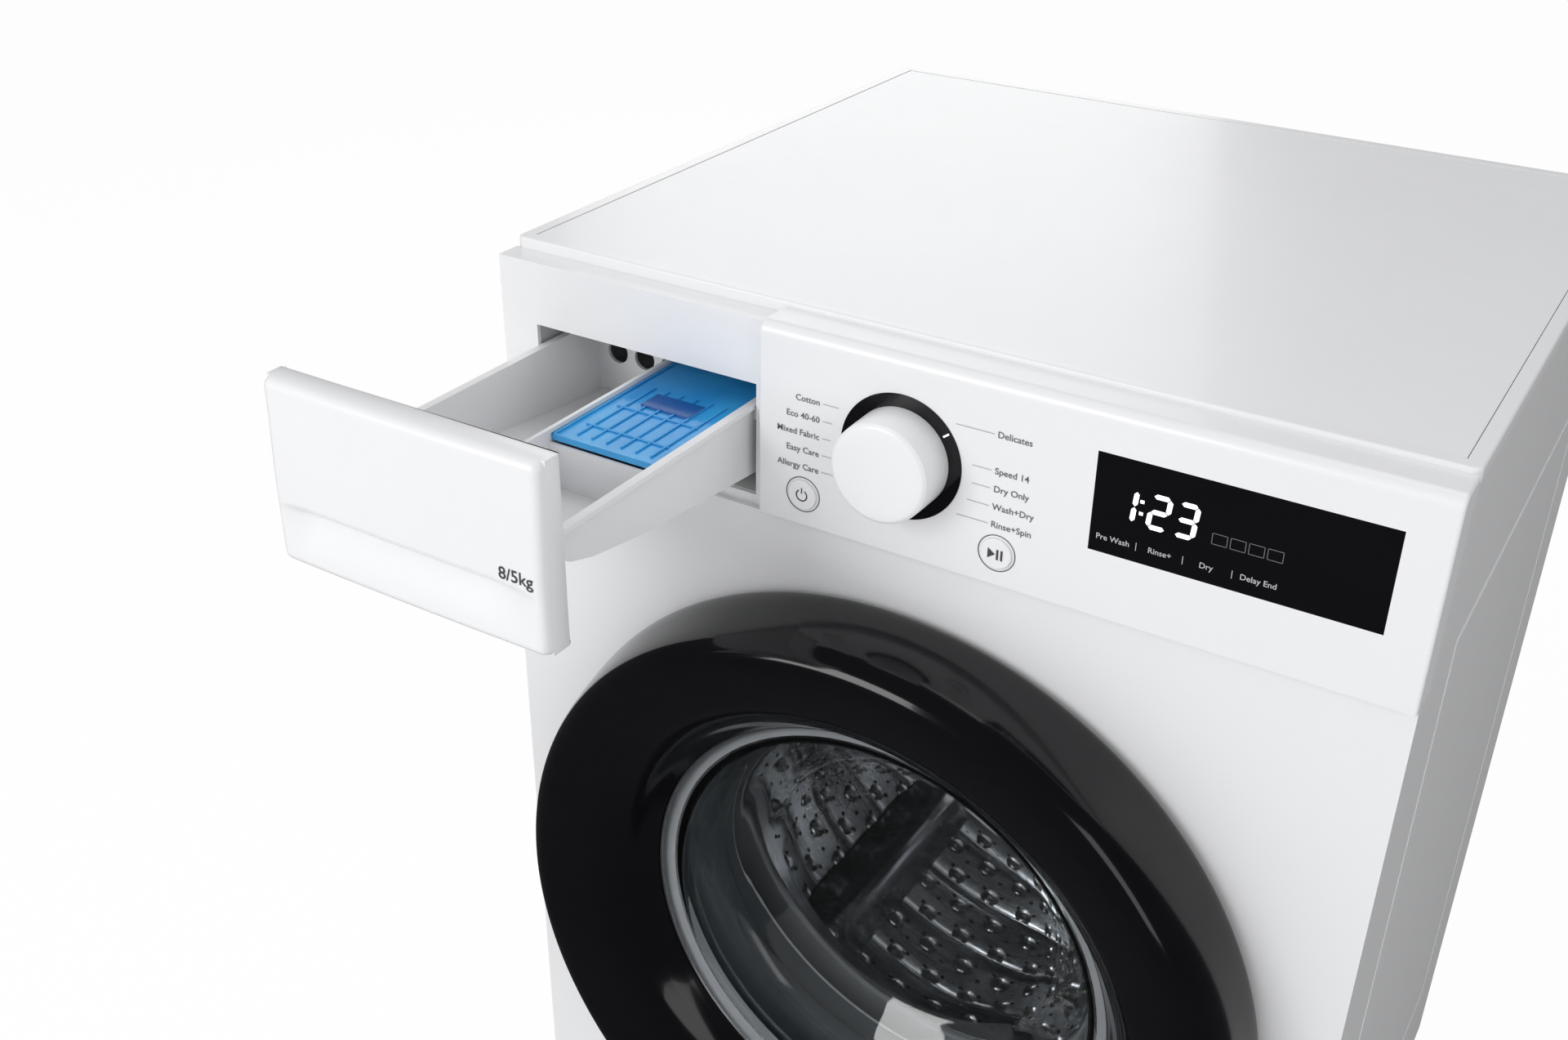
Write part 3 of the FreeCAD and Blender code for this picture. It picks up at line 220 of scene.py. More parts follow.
def piano_black(name, tone, rough):
    """Polished black moulding with faint hazy wiping marks in its gloss."""
    s = Shader(name)
    haze = s.noise(14.0, 6.0, (1.0, 1.0, 2.5))
    s.put(Base_Color=s.mix(haze, tone, tuple(c * 1.7 for c in tone)), Roughness=haze * 0.06 + rough)
    s.put(Specular_IOR_Level=0.32, Coat_Weight=0.22, Coat_Roughness=0.04)
    return s.material


def metal(name, light, dark, rough, stretch=(1.0, 1.0, 1.0), scale=90.0, bump=0.05):
    """Rolled, brushed or turned metal: fine streaks run across the stretched direction."""
    s = Shader(name)
    streak = s.noise(scale, 8.0, stretch)
    blotch = s.noise(7.0, 3.0)
    s.put(Base_Color=s.mix(streak * 0.6 + blotch * 0.4, dark, light), Metallic=1.0)
    s.put(Roughness=streak * 0.16 + rough)
    s.bump(streak, bump, 0.0003)
    return s.material


def galvanised(name):
    """Zinc coat with its spangle."""
    s = Shader(name)
    grain = s.node("ShaderNodeSeparateColor", None, {"Color": s.cells(70.0, "Color")})
    tone = Num(s, grain.outputs[0])
    s.put(Base_Color=s.mix(tone, (0.46, 0.48, 0.50), (0.64, 0.66, 0.68)), Metallic=0.9,
          Roughness=tone * 0.15 + 0.33)
    s.bump(s.noise(300.0), 0.08, 0.0003)
    return s.material


def rubber(name, light, dark, rough=0.62):
    s = Shader(name)
    s.put(Base_Color=s.mix(s.noise(22.0), dark, light), Roughness=s.noise(120.0) * 0.2 + rough)
    s.bump(s.noise(700.0, 3.0), 0.25, 0.0002)
    return s.material


def clear(name, tint, rough=0.01, see_through=0.0):
    """Clear moulding or glass that lets light through to what is behind it."""
    s = Shader(name)
    smear = s.noise(18.0, 5.0)
    s.put(Base_Color=s.mix(smear, tint, tuple(min(1.0, c * 1.05) for c in tint)),
          Roughness=smear * 0.03 + rough)
    s.put(Transmission_Weight=1.0, IOR=1.46)
    path = s.node("ShaderNodeLightPath")
    shade = Num(s, path.outputs["Is Shadow Ray"])
    open_way = s.node("ShaderNodeBsdfTransparent", None, {"Color": tint})
    mix = s.node("ShaderNodeMixShader")
    s.feed(mix, 0, shade * (1.0 - see_through) + see_through)
    s.tree.links.new(s.surface.outputs[0], mix.inputs[1])
    s.tree.links.new(open_way.outputs[0], mix.inputs[2])
    s.tree.links.new(mix.outputs[0], s.tree.nodes["Material Output"].inputs["Surface"])
    return s.material


def siphon_blue(name):
    """Glossy blue moulding whose shade pools lighter and darker."""
    s = Shader(name)
    pool = s.noise(26.0, 2.0, (1.0, 0.6, 1.0))
    s.put(Base_Color=s.mix(pool, (0.01, 0.20, 0.62), (0.06, 0.50, 0.93)), Roughness=pool * 0.08 + 0.10)
    s.put(Coat_Weight=0.5, Coat_Roughness=0.05)
    s.bump(s.noise(90.0, 2.0), 0.08, 0.0006)
    return s.material


def cast_block(name):
    """Rough grey casting with air holes and stone."""
    s = Shader(name)
    stone = s.noise(60.0, 10.0)
    pits = Num(s, s.cells(220.0))
    s.put(Base_Color=s.mix(stone, (0.25, 0.24, 0.22), (0.50, 0.49, 0.46)), Roughness=stone * 0.2 + 0.75)
    s.bump(stone * 0.6 + pits * 0.4, 0.8, 0.002)
    return s.material


def print_ink(name, colour, glow=0.0):
    s = Shader(name)
    s.put(Base_Color=s.mix(s.noise(300.0), colour, tuple(c * 0.85 for c in colour)), Roughness=0.5)
    if glow:
        s.put(Emission_Color=colour, Emission_Strength=glow)
    return s.material


WHITE = (0.83, 0.835, 0.845)
WHITE_SHADE = (0.80, 0.805, 0.82)
LOOK = {
    "enamel_steel": enamel("white_enamel", WHITE, WHITE_SHADE),
    "white_plastic": moulded("white_moulding", WHITE, WHITE_SHADE, 0.28, 0.15),
    "board_wood": moulded("white_laminate", WHITE, WHITE_SHADE, 0.30, 0.1, 500.0, 0.25),
    "zinc_steel": galvanised("galvanised_sheet"),
    "black_gloss": piano_black("piano_black", (0.003, 0.003, 0.004), 0.10),
    "display_black": piano_black("display_glass", (0.003, 0.003, 0.004), 0.03),
    "clear_glass": clear("bowl_glass", (0.93, 0.955, 0.96)),
    "grey_plastic": moulded("grey_moulding", (0.40, 0.41, 0.43), (0.34, 0.35, 0.37), 0.42, 0.0, 600.0, 0.3),
    "natural_plastic": moulded("filled_moulding", (0.62, 0.63, 0.62), (0.54, 0.55, 0.55), 0.45, 0.0, 450.0,
                               0.3),
    "blue_plastic": siphon_blue("siphon_blue"),
    "grey_rubber": rubber("grey_rubber", (0.085, 0.095, 0.105), (0.05, 0.058, 0.066), 0.42),
    "black_rubber": rubber("black_rubber", (0.030, 0.030, 0.031), (0.016, 0.016, 0.017)),
    "drum_steel": metal("polished_stainless", (0.80, 0.81, 0.83), (0.55, 0.56, 0.58), 0.10, (1.0, 9.0, 1.0),
                        60.0),
    "cast_aluminium": metal("cast_aluminium", (0.70, 0.70, 0.71), (0.52, 0.52, 0.53), 0.42, scale=160.0,
                            bump=0.4),
    "concrete": cast_block("cast_ballast"),
    "bright_steel": metal("turned_steel", (0.72, 0.72, 0.74), (0.50, 0.50, 0.52), 0.20, (1.0, 30.0, 1.0)),
    "board_green": moulded("circuit_board", (0.02, 0.20, 0.07), (0.01, 0.12, 0.04), 0.35, 0.3, 300.0, 0.2,
                           40.0),
    "copper": metal("copper_winding", (0.62, 0.30, 0.13), (0.30, 0.13, 0.05), 0.30, (1.0, 12.0, 1.0), 200.0,
                    0.5),
}
GREY_PRINT = print_ink("grey_print", (0.16, 0.165, 0.175))
PALE_PRINT = print_ink("pale_print", (0.42, 0.43, 0.44))
DARK_PRINT = print_ink("dark_print", (0.07, 0.07, 0.075))
LIT = print_ink("lit_segments", (0.95, 0.97, 1.0), 1.0)
DIM_PRINT = print_ink("window_print", (0.45, 0.46, 0.48), 0.12)
FAINT_PRINT = print_ink("faint_window_print", (0.16, 0.165, 0.17), 0.03)

for row in frame["record"]["subparts"]:
    if row["node"] in NODES:
        data = NODES[row["node"]].data
        data.materials.clear()
        data.materials.append(LOOK[row["material_slot"]])


# ---- shape helpers -------------------------------------------------------------------------
def new_piece(name, vertices, faces, material, smooth=True, sharp_angle=None):
    mesh = bpy.data.meshes.new(name)
    mesh.from_pydata([tuple(v) for v in vertices], [], faces)
    work = bmesh.new()
    work.from_mesh(mesh)
    bmesh.ops.remove_doubles(work, verts=work.verts, dist=1e-6)
    bmesh.ops.recalc_face_normals(work, faces=work.faces)
    work.to_mesh(mesh)
    work.free()
    mesh.materials.append(material)
    for polygon in mesh.polygons:
        polygon.use_smooth = smooth
    if sharp_angle:
        mesh.set_sharp_from_angle(angle=math.radians(sharp_angle))
    piece = bpy.data.objects.new(name, mesh)
    bpy.context.scene.collection.objects.link(piece)
    return piece


def stands_for(piece, body, node=None):
    """Rides on a body, and takes the place of a CAD node or just a finish."""
    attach(piece, body)
    if node:
        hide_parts(node)
    return piece


def eased(points, steps=6, closed=True):
    """Smooth outline through (radius, y) points; a point given as (r, y, 'hard') stays a corner."""
    flat = [(p[0], p[1]) for p in points]
    hard = [len(p) > 2 for p in points]
    count, result = len(points), []
    for i in range(count if closed else count - 1):
        p0, p1, p2, p3 = (flat[(i + k) % count] for k in (-1, 0, 1, 2))
        p0 = p1 if hard[i] else p0
        p3 = p2 if hard[(i + 1) % count] else p3
        for j in range(steps):
            t = j / steps
            result.append(tuple(0.5 * (2 * b + (c - a) * t + (2 * a - 5 * b + 4 * c - d) * t * t
                                       + (3 * b - a - 3 * c + d) * t ** 3) for a, b, c,
                                       d in zip(p0, p1, p2, p3)))
    return result


def lathe(name, outline, material, x=DOOR_X, z=DOOR_Z, turns=192, sharp_angle=None):
    """Closed (radius, y) outline turned about the Y direction."""
    vertices, faces, count = [], [], len(outline)
    for i in range(turns):
        a = 2 * math.pi * i / turns
        vertices += [(x + r * math.cos(a), y, z + r * math.sin(a)) for r, y in outline]
    for i in range(turns):
        j = (i + 1) % turns
        for k in range(count):
            n = (k + 1) % count
            if max(outline[k][0], outline[n][0]) > 1e-7:
                quad = [i * count + k, i * count + n, j * count + n, j * count + k]
                if outline[k][0] < 1e-7:
                    quad = [quad[0], quad[1], quad[2]]
                elif outline[n][0] < 1e-7:
                    quad = [quad[0], quad[1], quad[3]]
                faces.append(quad)
    return new_piece(name, vertices, faces, material, sharp_angle=sharp_angle)


def bevelled(piece, width, segments=3, angle=35):
    bevel = piece.modifiers.new("edges", "BEVEL")
    bevel.width = width
    bevel.segments = segments
    bevel.limit_method = "ANGLE"
    bevel.angle_limit = math.radians(angle)
    bpy.context.view_layer.update()
    plain = bpy.data.meshes.new_from_object(piece.evaluated_get(bpy.context.evaluated_depsgraph_get()))
    piece.modifiers.clear()
    piece.data = plain
    return piece


def block(x0, x1, y0, y1, z0, z1):
    vertices = [(x, y, z) for x in (x0, x1) for y in (y0, y1) for z in (z0, z1)]
    faces = [(0, 1, 3, 2), (4, 6, 7, 5), (0, 4, 5, 1), (2, 3, 7, 6), (0, 2, 6, 4), (1, 5, 7, 3)]
    return vertices, faces


def blocks(name, boxes, material, sharp=True):
    vertices, faces = [], []
    for item in boxes:
        v, f = block(*item)
        faces += [tuple(i + len(vertices) for i in face) for face in f]
        vertices += v
    mesh = new_piece(name, vertices, faces, material, smooth=not sharp)
    return mesh


def copy_of(node, name):
    """The CAD node's mesh as a new piece, its loose triangles joined up."""
    data = NODES[node].data.copy()
    work = bmesh.new()
    work.from_mesh(data)
    bmesh.ops.remove_doubles(work, verts=work.verts, dist=1e-6)
    work.to_mesh(data)
    work.free()
    data.name = name
    for polygon in data.polygons:
        polygon.use_smooth = True
    data.set_sharp_from_angle(angle=math.radians(40))
    piece = bpy.data.objects.new(name, data)
    bpy.context.scene.collection.objects.link(piece)
    return piece


# ---- print on the control panel ------------------------------------------------------------
def words(name, text, size, x, z, y, material, align="LEFT", weight=0.0):
    """Flat lettering on a plane that faces the front."""
    curve = bpy.data.curves.new(name, "FONT")
    curve.body = text
    curve.size = size
    curve.align_x = align
    curve.align_y = "CENTER"
    curve.offset = weight
    curve.resolution_u = 3
    holder = bpy.data.objects.new(name, curve)
    bpy.context.scene.collection.objects.link(holder)
    bpy.context.view_layer.update()
    mesh = bpy.data.meshes.new_from_object(holder)
    bpy.data.objects.remove(holder)
    mesh.transform(Matrix.Translation((x, y, z)) @ Matrix.Rotation(math.radians(90), 4, "X"))
    mesh.materials.clear()
    mesh.materials.append(material)
    mesh.name = name
    piece = bpy.data.objects.new(name, mesh)
    bpy.context.scene.collection.objects.link(piece)
    return piece


def joined(name, pieces):
    """Several flat pieces as one mesh, keeping their materials."""
    mesh, materials = bpy.data.meshes.new(name), []
    work = bmesh.new()
    for piece in pieces:
        first = len(work.faces)
        shift = len(materials)
        materials += list(piece.data.materials)
        work.from_mesh(piece.data)
        work.faces.ensure_lookup_table()
        for face in list(work.faces)[first:]:
            face.material_index += shift
        bpy.data.objects.remove(piece)
    unique = list(dict.fromkeys(materials))
    for face in work.faces:
        face.material_index = unique.index(materials[face.material_index])
    work.to_mesh(mesh)
    work.free()
    for material in unique:
        mesh.materials.append(material)
    whole = bpy.data.objects.new(name, mesh)
    bpy.context.scene.collection.objects.link(whole)
    return whole


def strokes(name, lines, width, y, material):
    """Printed lines, each a list of (x, z) points, drawn with one width."""
    vertices, faces = [], []
    for line in lines:
        for (x0, z0), (x1, z1) in zip(line, line[1:]):
            way = Vector((x1 - x0, z1 - z0)).normalized()
            off = Vector((-way.y, way.x)) * width / 2
            way = way * width * 0.3
            n = len(vertices)
            vertices += [(x0 - way.x + off.x, y, z0 - way.y + off.y),
                         (x0 - way.x - off.x, y, z0 - way.y - off.y),
                         (x1 + way.x - off.x, y, z1 + way.y - off.y),
                         (x1 + way.x + off.x, y, z1 + way.y + off.y)]
            faces.append((n, n + 1, n + 2, n + 3))
    return front_facing(name, vertices, faces, material)


def front_facing(name, vertices, faces, material):
    """Flat print whose faces all look towards the front."""
    mesh = bpy.data.meshes.new(name)
    mesh.from_pydata(vertices, [], faces)
    mesh.materials.append(material)
    work = bmesh.new()
    work.from_mesh(mesh)
    work.normal_update()
    bmesh.ops.reverse_faces(work, faces=[f for f in work.faces if f.normal.y > 0])
    work.to_mesh(mesh)
    work.free()
    piece = bpy.data.objects.new(name, mesh)
    bpy.context.scene.collection.objects.link(piece)
    return piece


def arc_line(x, z, r, start, end, steps=40):
    turn = [math.radians(start + (end - start) * i / steps) for i in range(steps + 1)]
    return [(x + r * math.cos(a), z + r * math.sin(a)) for a in turn]


PRINT_Y = PANEL_Y - LIFT
LABEL_SIZE = 0.0056
ROW = 0.0111


def programme_labels():
    """Programme names on both sides of the knob, each with a leader towards the ring."""
    left = ["", "", "Cotton", "Eco 40-60", "Mixed Fabric", "Easy Care", "Allergy Care"]
    right = ["Delicates", "", "Speed 14", "Dry Only", "Wash+Dry", "Rinse+Spin"]
    pieces, leaders = [], []
    ring = (high("knob_ring")[0] - low("knob_ring")[0]) / 2
    for side, names, top in ((-1, left, 0.0420), (1, right, 0.0300)):
        for i, name in enumerate(names):
            z = KNOB.z + top - ROW * i
            reach = ring + 0.004
            away = math.sqrt(max(reach ** 2 - (z - KNOB.z) ** 2, 0.0)) + 0.003
            text_x = KNOB.x + side * (ring + (0.0145 if side < 0 else 0.0200))
            if not name:
                continue
            pieces.append(words("label", name, LABEL_SIZE, text_x, z, PRINT_Y, GREY_PRINT,
                                "RIGHT" if side < 0 else "LEFT", 0.00006))
            leaders.append([(KNOB.x + side * away, z), (text_x - side * 0.002, z)])
    pieces.append(strokes("leaders", leaders, 0.00045, PRINT_Y, PALE_PRINT))
    stands_for(joined("programme_print", pieces), "cabinet")


def button_print():
    """Ring and symbol of the power button and of the start and pause button."""
    for node, body in (("power_button", "power_key"), ("start_button", "start_key")):
        spot, y = middle(node), low(node)[1] - LIFT
        radius = (high(node)[0] - low(node)[0]) / 2
        rim = strokes("rim", [arc_line(spot.x, spot.z, radius + 0.0018, 0, 360, 64)], 0.0006, PRINT_Y,
                      GREY_PRINT)
        stands_for(joined(node + "_ring_print", [rim]), "cabinet")
        if node == "power_button":
            sign = strokes("sign", [arc_line(spot.x, spot.z, 0.0036, 125, 415), [(spot.x, spot.z + 0.0015),
                           (spot.x, spot.z + 0.0048)]], 0.0007, y, DARK_PRINT)
        else:
            x, z, h = spot.x, spot.z, 0.0033
            arrow = front_facing("arrow", [(x - 0.0048, y, z + h), (x - 0.0048, y, z - h),
                                           (x - 0.0002, y, z)],
                                 [(0, 1, 2)], DARK_PRINT)
            bars = strokes("bars", [[(x + 0.0012, z + h - 0.0004), (x + 0.0012, z - h + 0.0004)],
                                    [(x + 0.0038, z + h - 0.0004), (x + 0.0038, z - h + 0.0004)]],
                           0.0013, y, DARK_PRINT)
            sign = joined("sign", [arrow, bars])
        stands_for(joined(node + "_symbol", [sign]), body)


SEGMENTS = {"1": "bc", "2": "abged", "3": "abgcd"}


def digit(value, x, z, wide, tall, y, thick, slant=0.08):
    """Seven-segment digit made of hexagonal bars."""
    half = tall / 2
    bars = {"a": ((0, tall), (wide, tall)), "b": ((wide, tall), (wide, half)), "c": ((wide, half), (wide, 0)),
            "d": ((0, 0), (wide, 0)), "e": ((0, 0), (0, half)), "f": ((0, half), (0, tall)),
            "g": ((0, half), (wide, half))}
    vertices, faces = [], []
    for key in SEGMENTS[value]:
        (ax, az), (bx, bz) = bars[key]
        way = Vector((bx - ax, bz - az)).normalized()
        off = Vector((-way.y, way.x)) * thick / 2
        gap = thick * 0.12
        a, b = Vector((ax, az)) + way * gap, Vector((bx, bz)) - way * gap
        ring = [a, a + off + way * thick / 2, b + off - way * thick / 2, b, b - off - way * thick / 2,
                a - off + way * thick / 2]
        n = len(vertices)
        vertices += [(x + p.x + slant * p.y, y, z + p.y) for p in ring]
        faces.append(tuple(range(n, n + 6)))
    return front_facing("digit", vertices, faces, LIT)


def display_print():
    """Remaining time, the row of option names and the progress boxes behind the window."""
    y = DISPLAY_LOW.y - LIFT
    x0, z0 = DISPLAY_LOW.x, DISPLAY_LOW.z
    tall = 0.0185
    base = z0 + 0.0235
    pieces = [digit("1", x0 + 0.0135, base, 0.009, tall, y, 0.0028),
              digit("2", x0 + 0.0315, base, 0.0095, tall, y, 0.0028),
              digit("3", x0 + 0.0465, base, 0.0095, tall, y, 0.0028)]
    for z in (base + tall * 0.32, base + tall * 0.70):
        pieces.append(strokes("colon", [[(x0 + 0.0272, z), (x0 + 0.0272, z + 0.0006)]], 0.0022, y, LIT))
    names = ["Pre Wash", "Rinse+", "Dry", "Delay End"]
    spots = [0.0135, 0.0400, 0.0655, 0.0935]
    for name, spot in zip(names, spots):
        pieces.append(words("option", name, 0.0048, x0 + spot, z0 + 0.0095, y, DIM_PRINT, "CENTER", 0.00004))
    marks = [[(x0 + (a + b) / 2, z0 + 0.0072), (x0 + (a + b) / 2, z0 + 0.0118)] for a,
             b in zip(spots, spots[1:])]
    pieces.append(strokes("dividers", marks, 0.0004, y, DIM_PRINT))
    left, floor, wide, high_ = x0 + 0.0665, base + 0.0005, 0.0098, 0.0062
    cells = [[(left + i * wide, floor), (left + (i + 0.82) * wide, floor),
              (left + (i + 0.82) * wide, floor + high_),
              (left + i * wide, floor + high_), (left + i * wide, floor)] for i in range(4)]
    pieces.append(strokes("progress", cells, 0.0004, y, FAINT_PRINT))
    stands_for(joined("display_print", pieces), "cabinet")


def knob_tick():
    """Short white mark on the black ring."""
    a = math.radians(37)
    y = low("knob_ring")[1] - LIFT
    r0, r1 = 0.0335, 0.0372
    line = [(KNOB.x + r * math.cos(a), KNOB.z + r * math.sin(a)) for r in (r0, r1)]
    mark = strokes("tick", [line], 0.0010, y, LIT)
    stands_for(joined("ring_tick", [mark]), "cabinet")


# ---- control parts -------------------------------------------------------------------------
def knob_piece():
    """Programme knob with a soft crowned face and a fine shadow groove at its foot."""
    front, back = low("program_knob")[1], PANEL_Y - 0.0006
    r = (high("program_knob")[0] - low("program_knob")[0]) / 2
    stem, stem_end = 0.008, high("program_knob")[1]
    outline = eased([(0.0, front + 0.0002, 1), (r * 0.55, front + 0.0001), (r - 0.0045, front + 0.0004),
                     (r - 0.0012, front + 0.0018), (r - 0.0003, front + 0.0050), (r, back - 0.0030),
                     (r, back, 1), (r - 0.003, back, 1), (r - 0.0032, front + 0.006, 1),
                     (stem, front + 0.005, 1),
                     (stem, stem_end, 1), (0.0, stem_end, 1)], 5)
    piece = lathe("programme_knob", outline, LOOK["white_plastic"], KNOB.x, KNOB.z, 128, 40)
    stands_for(piece, "knob", "program_knob")


# ---- drawer --------------------------------------------------------------------------------
def smooth_step(t):
    t = min(1.0, max(0.0, t))
    return t * t * (3 - 2 * t)


def drawer_front_piece():
    """Sculpted front: crowned face, a finger hollow under a soft ledge, rounded outline."""
    x0, back, z0 = low("drawer_front")[0], high("drawer_front")[1], low("drawer_front")[2]
    x1, front, z1 = high("drawer_front")[0], low("drawer_front")[1], high("drawer_front")[2]
    wide, tall = x1 - x0, z1 - z0
    corner, columns, rows = 0.006, 96, 72
    ledge = 0.345

    def depth(u, v):
        """How far the face lies behind the front-most plane."""
        crown = 0.0022 * smooth_step((v - 0.35) / 0.65) + 0.0010 * (2 * u - 1) ** 2
        end = smooth_step(u / 0.16) * smooth_step((1 - u) / 0.22)
        under = smooth_step((ledge - v) / 0.045)
        fade = smooth_step((v - 0.035) / 0.28)
        return crown + 0.0085 * end * under * fade

    def outline_pull(u, v):
        """Roll of the face into the sides near the outline."""
        dx, dz = min(u, 1 - u) * wide, min(v, 1 - v) * tall
        roll = corner - math.hypot(max(corner - dx, 0), max(corner - dz, 0))
        near = corner - min(roll, corner) if roll < corner else 0.0
        return corner - math.sqrt(max(corner ** 2 - near ** 2, 0.0))

    def spread(i, count):
        """Columns and rows crowd towards the edges."""
        t = i / count
        return t - 0.045 * math.sin(2 * math.pi * t) * 2

    vertices, faces = [], []
    for j in range(rows + 1):
        for i in range(columns + 1):
            u, v = spread(i, columns), spread(j, rows)
            y = front + depth(u, v) + outline_pull(u, v)
            vertices.append((x0 + u * wide, min(y, back - 0.006), z0 + v * tall))
    across = columns + 1
    for j in range(rows):
        for i in range(columns):
            a = j * across + i
            faces.append((a, a + 1, a + across + 1, a + across))
    rim = ([i for i in range(columns)] + [columns + j * across for j in range(rows)]
           + [rows * across + i for i in range(columns, 0, -1)] + [j * across for j in range(rows, 0, -1)])
    for shift, y in ((0.0, back - 0.002), (0.0015, back)):
        start = len(vertices)
        for index in rim[:]:
            x, _, z = vertices[index]
            sx = shift if x < x0 + wide / 2 else -shift
            sz = shift if z < z0 + tall / 2 else -shift
            edge_x = abs(x - x0) < 1e-6 or abs(x - x1) < 1e-6
            edge_z = abs(z - z0) < 1e-6 or abs(z - z1) < 1e-6
            vertices.append((x + (sx if edge_x and shift else 0), y, z + (sz if edge_z and shift else 0)))
        ring = list(range(start, len(vertices)))
        for k in range(len(rim)):
            n = (k + 1) % len(rim)
            faces.append((rim[k], rim[n], ring[n], ring[k]))
        rim = ring
    faces.append(tuple(rim))
    piece = new_piece("drawer_front_moulding", vertices, faces, LOOK["white_plastic"], True, 50)
    stands_for(piece, "drawer", "drawer_front")
    label = words("capacity", "8/5kg", 0.0105, x1 - 0.0175, z0 + tall * 0.40, front, DARK_PRINT, "CENTER",
                  0.00012)
    for vertex in label.data.vertices:
        x, _, z = vertex.co
        vertex.co.y = front + depth((x - x0) / wide, (z - z0) / tall) - LIFT
    stands_for(joined("capacity_print", [label]), "drawer")


def siphon_piece():
    """Blue siphon lid: raised rim, long ribs, a fill mark window and a square well."""
    x0, y0, _ = low("softener_cap")
    x1, y1, top = high("softener_cap")
    bottom, deck = low("softener_cap")[2], top - 0.0012
    boxes = [(x0, x1, y0, y1, deck - 0.003, deck)]
    rim = 0.0018
    boxes += [(x0, x0 + rim, y0, y1, deck, top), (x1 - rim, x1, y0, y1, deck, top),
              (x0, x1, y0, y0 + rim, deck, top), (x0, x1, y1 - rim, y1, deck, top)]
    wide = x1 - x0
    boxes += [(x0 + wide * s, x0 + wide * s + 0.0014, y0 + 0.008, y1 - 0.050, deck, top)
              for s in (0.16, 0.30, 0.44, 0.58, 0.72, 0.86)]
    boxes += [(x0 + 0.008, x1 - 0.008, y0 + d, y0 + d + 0.0014, deck, top) for d in (0.022, 0.052)]
    lid = blocks("siphon_lid", boxes, LOOK["blue_plastic"])
    well = blocks("well", [(x0 + 0.020, x1 - 0.020, y0 + 0.060, y0 + 0.078, deck, top + 0.0004),
                           (x0 + 0.018, x1 - 0.018, y1 - 0.040, y1 - 0.012, bottom, deck - 0.002)],
                  LOOK["blue_dark"])
    piece = bevelled(joined("softener_siphon", [lid, well]), 0.0004, 2)
    stands_for(piece, "drawer", "softener_cap")


# ---- door ----------------------------------------------------------------------------------
def door_ring_piece():
    """Broad polished ring: side leaning inwards, round brow, dished face, thin inner lip."""
    b, f, g = RING_BACK, RING_FRONT, high("door_glass")[0] - DOOR_X
    r, s = RING_R, low("door_glass")[1]
    outline = eased([(r - 0.0030, b, 1), (r, b - 0.005), (r - 0.0012, b - 0.020), (r - 0.0060, f + 0.017),
                     (r - 0.0105, f + 0.0062), (r - 0.0170, f + 0.0008), (r - 0.0260, f + 0.0001),
                     (r - 0.0440, f + 0.0045), (r - 0.0600, f + 0.0105), (g + 0.0170, f + 0.0215),
                     (g + 0.0080, s - 0.0140), (g + 0.0020, s - 0.0065), (g - 0.0006, s - 0.0034, 1),
                     (g - 0.0004, s - 0.0003, 1), (g + 0.0070, s - 0.0085), (r - 0.0590, f + 0.0160),
                     (r - 0.0300, f + 0.0052),
                     (r - 0.0175, f + 0.0050), (r - 0.0140, f + 0.0085), (r - 0.0100, f + 0.0180),
                     (r - 0.0048, b - 0.022), (r - 0.0035, b - 0.005), (r - 0.0045, b, 1)], 6)
    piece = lathe("door_outer_ring", outline, LOOK["black_gloss"], turns=256, sharp_angle=35)
    cut_slot(piece)
    stands_for(piece, "door", "door_ring")
    # Painted highlight: a thin silver ring laid at the glass edge stands in for the bright glint along the
    # glass rim; it is not a real trim part.
    bead = [(g - 0.0014 + 0.0011 * math.cos(a), s - 0.0012 + 0.0010 * math.sin(a))
            for a in [math.pi * 2 * i / 12 for i in range(12)]]
    painted_highlight_ring = lathe("door_inner_bead", bead, LOOK["bead"], turns=192)
    stands_for(painted_highlight_ring, "door")


def cut_slot(piece):
    """Opens the ring's side for the hinge bracket, as the frame does."""
    pin = middle("door_hinge_bracket")
    edge = DOOR_X - RING_R - 0.002
    inner = pin.x + 0.006
    cutter = blocks("slot_cutter", [(edge, inner, RING_BACK - 0.043, RING_BACK + 0.002, DOOR_Z - 0.009,
                                     DOOR_Z + 0.009)],
                    LOOK["black_gloss"])
    cut = piece.modifiers.new("slot", "BOOLEAN")
    cut.object = cutter
    cut.solver = "EXACT"
    bpy.context.view_layer.update()
    plain = bpy.data.meshes.new_from_object(piece.evaluated_get(bpy.context.evaluated_depsgraph_get()))
    piece.modifiers.clear()
    piece.data = plain
    bpy.data.objects.remove(cutter)


def door_glass_piece():
    """Clear bowl with a flat rim and a rounded floor."""
    y0, y1 = low("door_glass")[1], high("door_glass")[1]
    g, t = high("door_glass")[0] - DOOR_X, 0.005
    outline = eased([(0.0, y1 - 0.0002, 1), (0.060, y1 - 0.0004), (0.096, y1 - 0.0015), (0.113, y1 - 0.006),
                     (0.124, y1 - 0.015), (0.138, y1 - 0.027), (0.1495, y0 + 0.043), (0.1565, y0 + 0.022),
                     (0.1595, y0 + 0.010), (0.1605, y0 + t, 1), (g, y0 + t, 1), (g, y0 + 0.0006, 1),
                     (g - 0.010, y0 + 0.0004), (0.1555, y0 + 0.004), (0.1530, y0 + 0.012),
                     (0.1505, y0 + 0.022),
                     (0.1440, y0 + 0.041), (0.133, y1 - 0.030), (0.119, y1 - 0.0185), (0.109, y1 - 0.0105),
                     (0.094, y1 - 0.0064), (0.058, y1 - 0.0054), (0.0, y1 - 0.0052, 1)], 5)
    piece = lathe("door_bowl", outline, LOOK["clear_glass"], turns=192, sharp_angle=40)
    stands_for(piece, "door", "door_glass")


